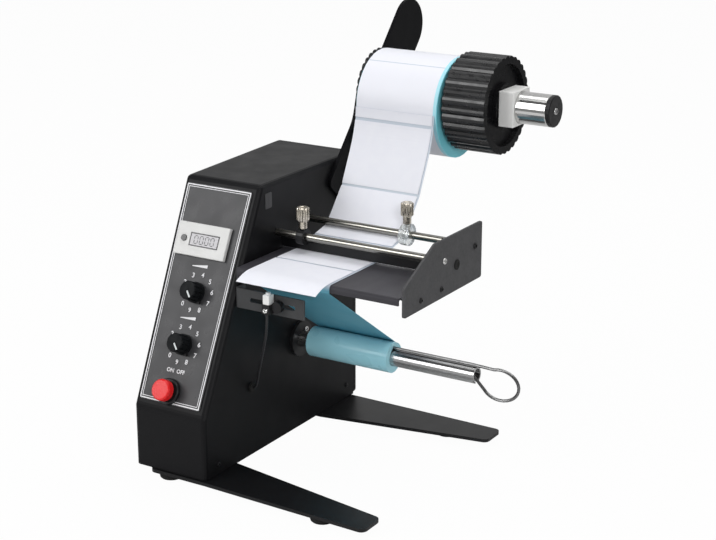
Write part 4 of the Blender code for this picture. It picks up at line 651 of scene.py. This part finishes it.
cardboard = new_finish("rolled_board", (0.40, 0.28, 0.17), 0.85, specular=0.2)
vary_colour(cardboard, (0.32, 0.22, 0.13), (0.48, 0.35, 0.22),
            scale=260, detail=5, stretch=(0.2, 1, 1))
raise_grain(cardboard, height=0.00006, strength=0.6, scale=900, detail=4)
dress(cardboard, "roll_core")
print("Finishes so far", len(bpy.data.materials))

# %% [markdown]
# The supply roll shows three surfaces: white labels round the outside, a strip of bare
# backing at each label gap and along the right edge, and the layered ends. One finish reads
# where it is on the roll: how far along the axis, at which angle round it and how far out.
# The gap angles continue the spacing of the labels on the web. The solid's outside is made of
# flats, so the finish takes the surface's direction from the axis, and it shades as a round.

# %% Supply roll
ROLL_AXIS_Y, ROLL_AXIS_Z = 0.2420, 0.2626
LABEL_EDGE_X = 0.0860
LABEL_PITCH_ANGLE = math.radians(76.3)
FIRST_GAP_ANGLE = math.radians(121)
GAP_SHARE = 0.016
LAYER_SCALE = 5200
LAYER_CONTRAST, LAYER_MIDDLE = 0.35, 0.5
BARE_EDGE = (0.40, 0.76, 0.86)
DARK_LAYER, LIGHT_LAYER = (0.12, 0.56, 0.67), (0.26, 0.72, 0.82)
END_FACE_TURN = 0.5


def calculate(material, operation, first, second=0.0, third=0.0):
    node = add_node(material, "Math", operation=operation)
    for value, socket in zip((first, second, third), node.inputs):
        if isinstance(value, bpy.types.NodeSocket):
            join(material, value, socket)
        else:
            socket.default_value = value
    return node.outputs[0]


roll_paper = new_finish("supply_roll", LABEL_WHITE, 0.5)
spot = add_node(roll_paper, "SeparateXYZ")
join(roll_paper, place_in_metres(roll_paper), spot.inputs[0])
roll_axis = at(0, ROLL_AXIS_Y, ROLL_AXIS_Z)
away_y = calculate(roll_paper, "SUBTRACT", spot.outputs["Y"], roll_axis.y)
away_z = calculate(roll_paper, "SUBTRACT", spot.outputs["Z"], roll_axis.z)
angle = calculate(roll_paper, "ARCTAN2", away_z, away_y)
turn = calculate(roll_paper, "DIVIDE", calculate(roll_paper, "SUBTRACT", angle, FIRST_GAP_ANGLE),
                 LABEL_PITCH_ANGLE)
in_gap = calculate(roll_paper, "LESS_THAN", calculate(roll_paper, "FRACT", turn), GAP_SHARE)
past_edge = calculate(roll_paper, "GREATER_THAN", spot.outputs["X"], at(LABEL_EDGE_X, 0, 0).x)
# The roll's gaps take the pale slit colour: painted light from the white paper on both sides.
outside = mix_colours(roll_paper, in_gap, LABEL_WHITE, SLIT_COLOUR)
outside = mix_colours(roll_paper, past_edge, outside, BARE_EDGE)

radius = calculate(roll_paper, "SQRT", calculate(
    roll_paper, "ADD", calculate(roll_paper, "POWER", away_y, 2.0),
    calculate(roll_paper, "POWER", away_z, 2.0)))
layers = calculate(roll_paper, "SINE", calculate(roll_paper, "MULTIPLY", radius, LAYER_SCALE))
layer_mix = calculate(roll_paper, "MULTIPLY_ADD", layers, LAYER_CONTRAST, LAYER_MIDDLE)
ends = mix_colours(roll_paper, layer_mix, DARK_LAYER, LIGHT_LAYER)
facing = add_node(roll_paper, "SeparateXYZ")
surface = add_node(roll_paper, "TexCoord")
join(roll_paper, surface.outputs["Normal"], facing.inputs[0])
on_end = calculate(roll_paper, "GREATER_THAN",
                   calculate(roll_paper, "ABSOLUTE", facing.outputs["X"]), END_FACE_TURN)
paint(roll_paper, mix_colours(roll_paper, on_end, outside, ends))
vary_roughness(roll_paper, 0.42, 0.58, scale=160, detail=4)
outward = add_node(roll_paper, "CombineXYZ")
join(roll_paper, away_y, outward.inputs["Y"])
join(roll_paper, away_z, outward.inputs["Z"])
turned_out = add_node(roll_paper, "VectorTransform", vector_type="NORMAL",
                      convert_from="OBJECT", convert_to="WORLD")
join(roll_paper, outward.outputs[0], turned_out.inputs[0])
flat = add_node(roll_paper, "NewGeometry")
direction = add_node(roll_paper, "Mix", data_type="VECTOR")
join(roll_paper, on_end, direction.inputs["Factor"])
join(roll_paper, turned_out.outputs[0], direction.inputs[FIRST_VECTOR])
join(roll_paper, flat.outputs["Normal"], direction.inputs[SECOND_VECTOR])
join(roll_paper, direction.outputs[MIXED_VECTOR], shader_of(roll_paper).inputs["Normal"])
dress(roll_paper, "label_roll")
print("Roll finish has", len(roll_paper.node_tree.nodes), "nodes")

# %% [markdown]
# The last label on the web has only just left the roll, and the next one still lies half on
# the winding. Its free part follows the top of the strip: a smooth curve that starts straight
# down at the roll and bends towards the rear rod. It is a thin sheet with real thickness.

# %% Label that leaves the roll
SHEET = 0.00025
SHEET_GAP = 0.0003
ROLL_RADIUS = 0.0418
WEB_KINK = (0.1776, 0.2012)
WEB_SLACK = 0.0220
KINK_SLOPE = math.radians(66)
LABEL_LEFT_X = 0.0143
SLIT_TOP_Z = 0.2535
LEAVING_STEPS = 40

curve_start = Vector((ROLL_AXIS_Y - ROLL_RADIUS - SHEET_GAP - SHEET / 2, ROLL_AXIS_Z))
kink = Vector(WEB_KINK)
handles = [curve_start, curve_start - Vector((0, WEB_SLACK)),
           kink + Vector((math.cos(KINK_SLOPE), math.sin(KINK_SLOPE))) * WEB_SLACK, kink]


def on_curve(part):
    """A point of the curve with four handles at a share of its way."""
    shares = ((1 - part) ** 3, 3 * part * (1 - part) ** 2, 3 * part ** 2 * (1 - part), part ** 3)
    return sum((handle * weight for handle, weight in zip(handles, shares)), Vector((0, 0)))


leaving = [on_curve(index / LEAVING_STEPS) for index in range(LEAVING_STEPS)]
leaving = [point for point in leaving if point.y > SLIT_TOP_Z]
lift = Vector((SHEET + SHEET_GAP, 0))
outer_line = [point - lift - Vector((SHEET, 0)) for point in leaving]
inner_line = [point - lift for point in leaving]
outline = [(point.x, point.y) for point in outer_line + list(reversed(inner_line))]
# The outline lies in (y, z). Turning x, y, z round by one place sets it across the web.
across = Matrix(((0, 0, 1, corner.x), (1, 0, 0, corner.y), (0, 1, 0, corner.z), (0, 0, 0, 1)))
add_piece("leaving_label", slab(outline, LABEL_LEFT_X, LABEL_EDGE_X), label_paper, "root", across)
print("Leaving label", round((leaving[0] - leaving[-1]).length * 1000, 1), "mm free")

# %% [markdown]
# The panel film is printed on its back and laid on the slope. It is a lighter grey than the
# paint, and smooth. Pieces on it are placed in the slope's own frame: x to the right, s up the
# slope and the third axis straight out of it. One matrix turns that frame into the model's.

# %% Panel film and its frame
FRONT_FACE_HEIGHT = 0.0506
TOP_SETBACK = 0.0823
HOUSING_HEIGHT = 0.2190
PANEL_FACE = 0.0012
INK_HEIGHT = 0.00008

panel_lean = math.atan2(HOUSING_HEIGHT - FRONT_FACE_HEIGHT, TOP_SETBACK)
panel_matrix = (Matrix.Translation(at(0, 0, FRONT_FACE_HEIGHT))
                @ Matrix.Rotation(panel_lean, 4, "X"))


def on_panel(x, s, lift=PANEL_FACE):
    return panel_matrix @ Matrix.Translation((x, s, lift))


panel_film = new_finish("printed_panel_film", (0.044, 0.044, 0.047), 0.34, specular=0.20)
vary_roughness(panel_film, 0.24, 0.36, scale=80)
vary_colour(panel_film, (0.046, 0.046, 0.049), (0.055, 0.055, 0.058), scale=40)
dress(panel_film, "panel_overlay")

panel_ink = new_finish("pale_ink", (0.80, 0.80, 0.82), 0.45)
vary_roughness(panel_ink, 0.38, 0.55, scale=1200, detail=2)
print("Panel leans", round(math.degrees(panel_lean), 1), "degrees")

# %% [markdown]
# A double line is printed round the film: a wide one near the edge and a fine one inside it.
# Each is a band between two outlines, one set in from the other, so both follow the film's
# slanting left edge without any measuring.

# %% Printed border
FILM_CORNERS = [(-0.0643, 0.0062), (-0.0059, 0.0062), (-0.0059, 0.1814), (-0.0688, 0.1814)]


def set_in(corners, amount):
    """Move each side of a polygon that turns left inward by the amount."""
    points = []
    count = len(corners)
    for index in range(count):
        before, here, after = (Vector(corners[(index + step) % count]) for step in (-1, 0, 1))
        first = (here - before).normalized()
        second = (after - here).normalized()
        inward = Vector((-first.y - second.y, first.x + second.x)).normalized()
        share_in = inward.dot(Vector((-first.y, first.x)))
        points.append(tuple(here + inward * amount / share_in))
    return points


def band(outer, inner, low, high):
    bm = bmesh.new()
    loops = [[bm.verts.new((x, y, z)) for x, y in loop]
             for loop, z in ((outer, low), (inner, low), (inner, high), (outer, high))]
    count = len(outer)
    for first, second in zip(loops, loops[1:] + loops[:1]):
        for index in range(count):
            after = (index + 1) % count
            bm.faces.new((first[index], first[after], second[after], second[index]))
    return bm


for name, inset, width in (("panel_border_wide", 0.0007, 0.0009),
                           ("panel_border_fine", 0.0026, 0.0005)):
    outer = set_in(FILM_CORNERS, inset)
    add_piece(name, band(outer, set_in(outer, width), 0, INK_HEIGHT), panel_ink, "root",
              on_panel(0, 0))
print("Border lines printed")

# %% [markdown]
# Each knob has a round scale of numbers. Blender's text tool draws the digits, and each is
# turned into a mesh and set on a circle, upright as a dial is printed. All of one scale's
# numbers become one piece, which keeps the list of pieces short. Letters made bolder can tear
# open at thin corners, so this amount was tried on each figure, and doubled points are merged.

# %% Dial numbers
KNOB_X = -0.0350
KNOB_PLACES = {"upper": 0.0958, "lower": 0.0540}
SCALE_RADIUS = 0.0146
DIGIT_SIZE = 0.0052
BOLD = 0.00011
SAME_POINT = 0.000001
DIGIT_COUNT = 10
FIRST_DIGIT_ANGLE = math.radians(225)


def words_mesh(words, size, place):
    """Digits or words as flat geometry, centred on a place."""
    data = bpy.data.curves.new("words", "FONT")
    data.body = words
    data.size = size
    data.extrude = INK_HEIGHT / 2
    data.offset = BOLD
    data.align_x = "CENTER"
    data.align_y = "CENTER"
    holder = bpy.data.objects.new("words", data)
    bpy.context.scene.collection.objects.link(holder)
    bpy.context.view_layer.update()
    graph = bpy.context.evaluated_depsgraph_get()
    mesh = bpy.data.meshes.new_from_object(holder.evaluated_get(graph))
    mesh.transform(Matrix.Translation((*place, INK_HEIGHT / 2)))
    bpy.data.objects.remove(holder, do_unlink=True)
    return mesh


def printed_words(name, entries, matrix):
    bm = bmesh.new()
    for words, size, place in entries:
        bm.from_mesh(words_mesh(words, size, place))
    bmesh.ops.remove_doubles(bm, verts=bm.verts, dist=SAME_POINT)
    bmesh.ops.dissolve_degenerate(bm, edges=bm.edges, dist=SAME_POINT)
    return add_piece(name, bm, panel_ink, "root", matrix)


for knob, slope in KNOB_PLACES.items():
    entries = []
    for digit in range(DIGIT_COUNT):
        angle = FIRST_DIGIT_ANGLE - 2 * math.pi * digit / DIGIT_COUNT
        entries.append((str(digit), DIGIT_SIZE,
                        (SCALE_RADIUS * math.cos(angle), SCALE_RADIUS * math.sin(angle))))
    printed_words(knob + "_dial_numbers", entries, on_panel(KNOB_X, slope))
print("Dials numbered 0 to", DIGIT_COUNT - 1)

# %% [markdown]
# Above each knob the film carries a plain wedge that grows from small to large, the usual sign
# for a value that rises as the knob turns. The switch is marked only ON and OFF. The rest of
# the film is left bare.

# %% Plain signs
WEDGE_LENGTH = 0.0145
WEDGE_HEIGHT = 0.0026
WEDGE_TIP = 0.0006
WEDGE_PLACES = {"upper": (-0.0376, 0.1160), "lower": (-0.0368, 0.0742)}
SWITCH_WORDS_PLACE = (-0.0362, 0.0326)
SWITCH_WORDS_SIZE = 0.0044

for knob, (x, slope) in WEDGE_PLACES.items():
    half = WEDGE_LENGTH / 2
    outline = [(-half, 0), (half, 0), (half, WEDGE_HEIGHT), (-half, WEDGE_TIP)]
    add_piece(knob + "_dial_wedge", slab(outline, 0, INK_HEIGHT), panel_ink, "root",
              on_panel(x, slope))
printed_words("switch_words", [("ON  OFF", SWITCH_WORDS_SIZE, (0, 0))],
              on_panel(*SWITCH_WORDS_PLACE))
print("Signs printed")

# %% [markdown]
# The counter's window is a small liquid crystal display behind a clear pane. Its figures are
# seven-segment ones: each segment is a six-sided bar, and a table says which bars a figure
# uses. A thin dark seal runs round the pane.

# %% Counter display
WINDOW_X, COUNTER_S = -0.0372, 0.1366
FIGURE_HEIGHT, FIGURE_WIDTH = 0.0062, 0.0032
SEGMENT_WIDTH = 0.0006
FIGURE_SPACE = 0.0052
FIGURE_COUNT = 4
WINDOW_SIZE = (0.0274, 0.0104)
SEAL_WIDTH = 0.0007

display_grey = new_finish("display_grey", (0.34, 0.33, 0.35), 0.12)
vary_colour(display_grey, (0.31, 0.30, 0.32), (0.37, 0.36, 0.38), scale=90)
shader_of(display_grey).inputs["Coat Weight"].default_value = 0.3
shader_of(display_grey).inputs["Coat Roughness"].default_value = 0.05
dress(display_grey, "counter_window")

display_ink = new_finish("display_ink", (0.03, 0.03, 0.035), 0.35)
vary_roughness(display_ink, 0.3, 0.42, scale=900, detail=2)

window_reach = max((panel_matrix.inverted() @ vertex.co).z
                   for vertex in nodes["counter_window"].data.vertices)


def add_bar(bm, x, y, length, upright):
    """One six-sided segment bar, added to a mesh."""
    half, side = length / 2 - SEGMENT_WIDTH / 2, SEGMENT_WIDTH / 2
    outline = [(-half, 0), (side - half, -side), (half - side, -side), (half, 0),
               (half - side, side), (side - half, side)]
    if upright:
        outline = [(-wide, along) for along, wide in outline]
    add_prism(bm, [(x + along, y + wide) for along, wide in outline], 0, INK_HEIGHT)


bm = bmesh.new()
for figure in range(FIGURE_COUNT):
    middle = (figure - (FIGURE_COUNT - 1) / 2) * FIGURE_SPACE
    for side in (-1, 1):
        for half in (-1, 1):
            add_bar(bm, middle + side * FIGURE_WIDTH / 2, half * FIGURE_HEIGHT / 4,
                    FIGURE_HEIGHT / 2, True)
        add_bar(bm, middle, side * FIGURE_HEIGHT / 2, FIGURE_WIDTH, False)
add_piece("counter_figures", bm, display_ink, "root", on_panel(WINDOW_X, COUNTER_S, window_reach))

half_width, half_height = (size / 2 for size in WINDOW_SIZE)
seal = [(-half_width, -half_height), (half_width, -half_height), (half_width, half_height),
        (-half_width, half_height)]
add_piece("counter_seal", band(seal, set_in(seal, SEAL_WIDTH), 0, INK_HEIGHT), display_ink,
          "root", on_panel(WINDOW_X, COUNTER_S, window_reach))
print("Window stands", round(window_reach * 1000, 1), "mm out of the slope")

# %% [markdown]
# Each knob has a raised pointer on its cap and a small wing that reaches past its skirt. It
# rides on the knob, so it turns with it. At rest it points to the lower right.

# %% Knob pointers
KNOB_LIFT, KNOB_HEIGHT = 0.0007, 0.0125
KNOB_TOP = KNOB_LIFT + KNOB_HEIGHT
POINTER_ANGLE = math.radians(-52)
POINTER_START, POINTER_END = 0.0008, 0.0066
POINTER_WIDTH, POINTER_RISE = 0.0012, 0.0005
WING_START, WING_END = 0.0078, 0.0106
WING_ROOT, WING_TIP = 0.0016, 0.0004
WING_HEIGHT = 0.0020
WING_LIFT = 0.0008

pointer_paint = new_finish("pointer_white", (0.62, 0.66, 0.66), 0.4)
vary_roughness(pointer_paint, 0.34, 0.48, scale=1500, detail=2)
for knob, slope in KNOB_PLACES.items():
    turned = on_panel(KNOB_X, slope) @ Matrix.Rotation(POINTER_ANGLE, 4, "Z")
    side = POINTER_WIDTH / 2
    outline = [(POINTER_START, -side), (POINTER_END, -side), (POINTER_END, side),
               (POINTER_START, side)]
    add_piece(knob + "_pointer", slab(outline, KNOB_TOP, KNOB_TOP + POINTER_RISE), pointer_paint,
              knob + "_knob", turned)
    wing = [(WING_START, -WING_ROOT), (WING_END, -WING_TIP), (WING_END, WING_TIP),
            (WING_START, WING_ROOT)]
    add_piece(knob + "_wing", slab(wing, WING_LIFT, WING_LIFT + WING_HEIGHT), black_plastic,
              knob + "_knob", turned)
print("Pointers at", round(math.degrees(POINTER_ANGLE)), "degrees")

# %% [markdown]
# The thumbscrews' heads are knurled so that fingers can grip them. A knurl is a wave round the
# edge, so the ring helper turns the whole head in one go, with a chamfer at each end where the
# knurl fades out. The new screws stand for the plain solids and ride on the same bodies.

# %% Knurled thumbscrews
KNURL_RIBS = 18
KNURL_DEPTH = 0.11
STEPS_PER_RIB = 6
HEAD_HEIGHT, HEAD_CHAMFER = 0.0110, 0.0009
UNDERSIDE_RADIUS, UNDERSIDE_DROP = 0.0040, 0.0008
NECK_RADIUS, NECK_HEIGHT = 0.0034, 0.0060
STEM_RADIUS = 0.0020
DISH_SHARE, DISH_FLOOR_SHARE, DISH_DEPTH = 0.55, 0.48, 0.0004
thumb_wave = knurl(KNURL_RIBS, KNURL_DEPTH)

for side in ("left", "right"):
    node = side + "_thumbscrew"
    low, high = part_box(node)
    head = (high.x - low.x) / 2
    neck_top = high.z - HEAD_HEIGHT
    seat = neck_top - NECK_HEIGHT
    bottom = low.z
    rings = [(STEM_RADIUS, bottom, plain), (STEM_RADIUS, seat, plain), (NECK_RADIUS, seat, plain),
             (NECK_RADIUS, neck_top - UNDERSIDE_DROP, plain), (UNDERSIDE_RADIUS, neck_top, plain),
             (head - HEAD_CHAMFER, neck_top, plain),
             (head, neck_top + HEAD_CHAMFER, thumb_wave),
             (head, high.z - HEAD_CHAMFER, thumb_wave),
             (head - HEAD_CHAMFER, high.z, plain), (head * DISH_SHARE, high.z, plain),
             (head * DISH_FLOOR_SHARE, high.z - DISH_DEPTH, plain)]
    middle = (low + high) / 2
    rings = [(radius, height - bottom, shape) for radius, height, shape in rings]
    screw = add_piece(side + "_knurled_screw", lathe(rings, KNURL_RIBS * STEPS_PER_RIB), nickel,
                      node, Matrix.Translation((middle.x, middle.y, bottom)))
    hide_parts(node)
print("Thumbscrews knurled with", KNURL_RIBS, "ribs")

# %% [markdown]
# Screws hold the plates together. One round head with a six-sided socket covers them all, in
# chrome, black or drawn steel. The socket is a ring that steps down inside the head, with the
# six-sided shape from before. A rubber plug closes the side plate's spare hole.

# %% Screws
HEAD_RISE_SHARE = 0.55
SOCKET_SHARE = 0.5
SOCKET_DEPTH_SHARE = 0.4
RIM_RISE_SHARE = 0.35
SHOULDER_SHARE, SHOULDER_RISE_SHARE = 0.86, 0.80
CROWN_SHARE = 0.66
SCREW_STEPS = 36


def add_screw(name, place, radius, finish):
    rise = radius * HEAD_RISE_SHARE
    socket = radius * SOCKET_SHARE
    depth = radius * SOCKET_DEPTH_SHARE
    rings = [(radius, 0, plain), (radius, rise * RIM_RISE_SHARE, plain),
             (radius * SHOULDER_SHARE, rise * SHOULDER_RISE_SHARE, plain),
             (radius * CROWN_SHARE, rise, plain), (socket, rise, hexagon),
             (socket, rise - depth, hexagon)]
    add_piece(name, lathe(rings, SCREW_STEPS), finish, "root", Matrix.Translation(place) @ ALONG_X)


PLATE_FACE_X, SHEET_FACE_X = 0.1518, 0.0033
ARM_HEAD, CAP_HEAD, ROD_HEAD = 0.0030, 0.0030, 0.0026
PLATFORM_HEAD, BEARING_HEAD, SIDE_HEAD = 0.0022, 0.0022, 0.0020
CAP_RECESS = 0.0008
FRONT_ROD_SCREW = (PLATE_FACE_X, 0.1026, 0.1771)
BEARING_SCREW = (SHEET_FACE_X, 0.1387, 0.0852)
PLUG_PLACE = (PLATE_FACE_X, 0.1224, 0.1693)
PLUG_PROFILE = [(0.0032, -0.0018), (0.0032, 0.0002), (0.0041, 0.0002), (0.0041, 0.0006),
                (0.0034, 0.0010), (0.0022, 0.0010), (0.0018, 0.0004)]
DARK_SCREWS = [("rear_rod_screw", (PLATE_FACE_X, 0.1518, 0.1766), ROD_HEAD),
               ("platform_front_screw", (PLATE_FACE_X, 0.0674, 0.1560), PLATFORM_HEAD),
               ("platform_rear_screw", (PLATE_FACE_X, 0.0989, 0.1560), PLATFORM_HEAD),
               ("arm_upper_screw", (SHEET_FACE_X, 0.2030, 0.2070), ARM_HEAD),
               ("arm_lower_screw", (SHEET_FACE_X, 0.2100, 0.1850), ARM_HEAD),
               ("side_front_screw", (0, 0.0169, 0.0084), SIDE_HEAD),
               ("side_rear_screw", (0, 0.2060, 0.0120), SIDE_HEAD)]

add_screw("front_rod_screw", at(*FRONT_ROD_SCREW), ROD_HEAD, chrome)
for name, place, size in DARK_SCREWS:
    add_screw(name, at(*place), size, black_plastic)
cap_low, cap_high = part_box("shaft_cap")
cap_centre = (cap_low + cap_high) / 2
add_screw("cap_screw", Vector((cap_high.x - CAP_RECESS, cap_centre.y, cap_centre.z)), CAP_HEAD,
          drawn_steel)
add_piece("plate_hole_plug", lathe([(*ring, plain) for ring in PLUG_PROFILE]), rubber, "root",
          Matrix.Translation(at(*PLUG_PLACE)) @ ALONG_X)
add_screw("bearing_screw", at(*BEARING_SCREW), BEARING_HEAD, chrome)
print("Dark screws", len(DARK_SCREWS), "and three bright ones")

# %% [markdown]
# A small blank plate sits high on the housing's side. It is thin anodised sheet with rounded
# corners, a shade lighter than the paint around it.

# %% Blank side plate
PAD_LOW, PAD_HIGH = (0.0868, 0.1990), (0.0958, 0.2115)
PAD_CORNER = 0.0012
PAD_SEAT, PAD_SHEET = 0.00005, 0.0004
CORNER_STEPS = 4

anodised = new_finish("anodised_sheet", (0.045, 0.045, 0.047), 0.45, specular=0.4)
vary_colour(anodised, (0.036, 0.036, 0.038), (0.056, 0.056, 0.058), scale=300, stretch=(1, 0.1, 1))
vary_roughness(anodised, 0.38, 0.52, scale=500, stretch=(1, 0.1, 1))
pad_outline = []
for quarter, (y, z) in enumerate(((PAD_HIGH[0], PAD_HIGH[1]), (PAD_LOW[0], PAD_HIGH[1]),
                                  (PAD_LOW[0], PAD_LOW[1]), (PAD_HIGH[0], PAD_LOW[1]))):
    inward_y = -1 if quarter in (0, 3) else 1
    inward_z = -1 if quarter in (0, 1) else 1
    for step in range(CORNER_STEPS + 1):
        bend = math.pi / 2 * (quarter + step / CORNER_STEPS)
        pad_outline.append((y + PAD_CORNER * (inward_y + math.cos(bend)),
                            z + PAD_CORNER * (inward_z + math.sin(bend))))
add_piece("blank_side_plate", slab(pad_outline, PAD_SEAT, PAD_SHEET), anodised, "root", across)
print("Side plate corners", len(pad_outline))

# %% [markdown]
# The label sensor has a white head over a dark clamp, with a small bright locating ring. The
# clamp wraps the lower half of the white solid, and it is a little larger, so it reads as a
# separate piece.

# %% Sensor clamp sleeve
SLEEVE_SHARE = 0.46
SLEEVE_MARGIN = 0.0005
RING_RADIUS = 0.0021
RING_LIFT = 0.0030
RING_PROFILE = [(1, 0), (1, 0.0009), (0.8, 0.0013), (0.5, 0.0013), (0.45, 0.0006)]

sensor_low, sensor_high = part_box("label_sensor")
sleeve_low = sensor_low - Vector((SLEEVE_MARGIN, SLEEVE_MARGIN, 0))
sleeve_high = Vector((sensor_high.x + SLEEVE_MARGIN, sensor_high.y,
                      sensor_low.z + (sensor_high.z - sensor_low.z) * SLEEVE_SHARE))
outline = [(sleeve_low.x, sleeve_low.y), (sleeve_high.x, sleeve_low.y),
           (sleeve_high.x, sleeve_high.y), (sleeve_low.x, sleeve_high.y)]
add_piece("sensor_sleeve", slab(outline, sleeve_low.z, sleeve_high.z), black_plastic, "root")
rings = [(RING_RADIUS * share, height, plain) for share, height in RING_PROFILE]
ring_place = Vector(((sleeve_low.x + sleeve_high.x) / 2, sleeve_low.y, sleeve_low.z + RING_LIFT))
add_piece("sensor_ring", lathe(rings), chrome, "root",
          Matrix.Translation(ring_place) @ ALONG_MINUS_Y)
print("Sensor sleeve", round((sleeve_high.z - sleeve_low.z) * 1000, 1), "mm high")

# %% [markdown]
# Before finishing, the box of the dressed model is measured against the box of the solids. The
# dressing must not make the machine bigger, and this file shows it.

# %% Measure and finish
low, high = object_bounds()
growth = [round((b - a) * 1000, 1) for a, b in zip(cad_high - cad_low, high - low)]
print("Dressed box grows by", growth, "mm")
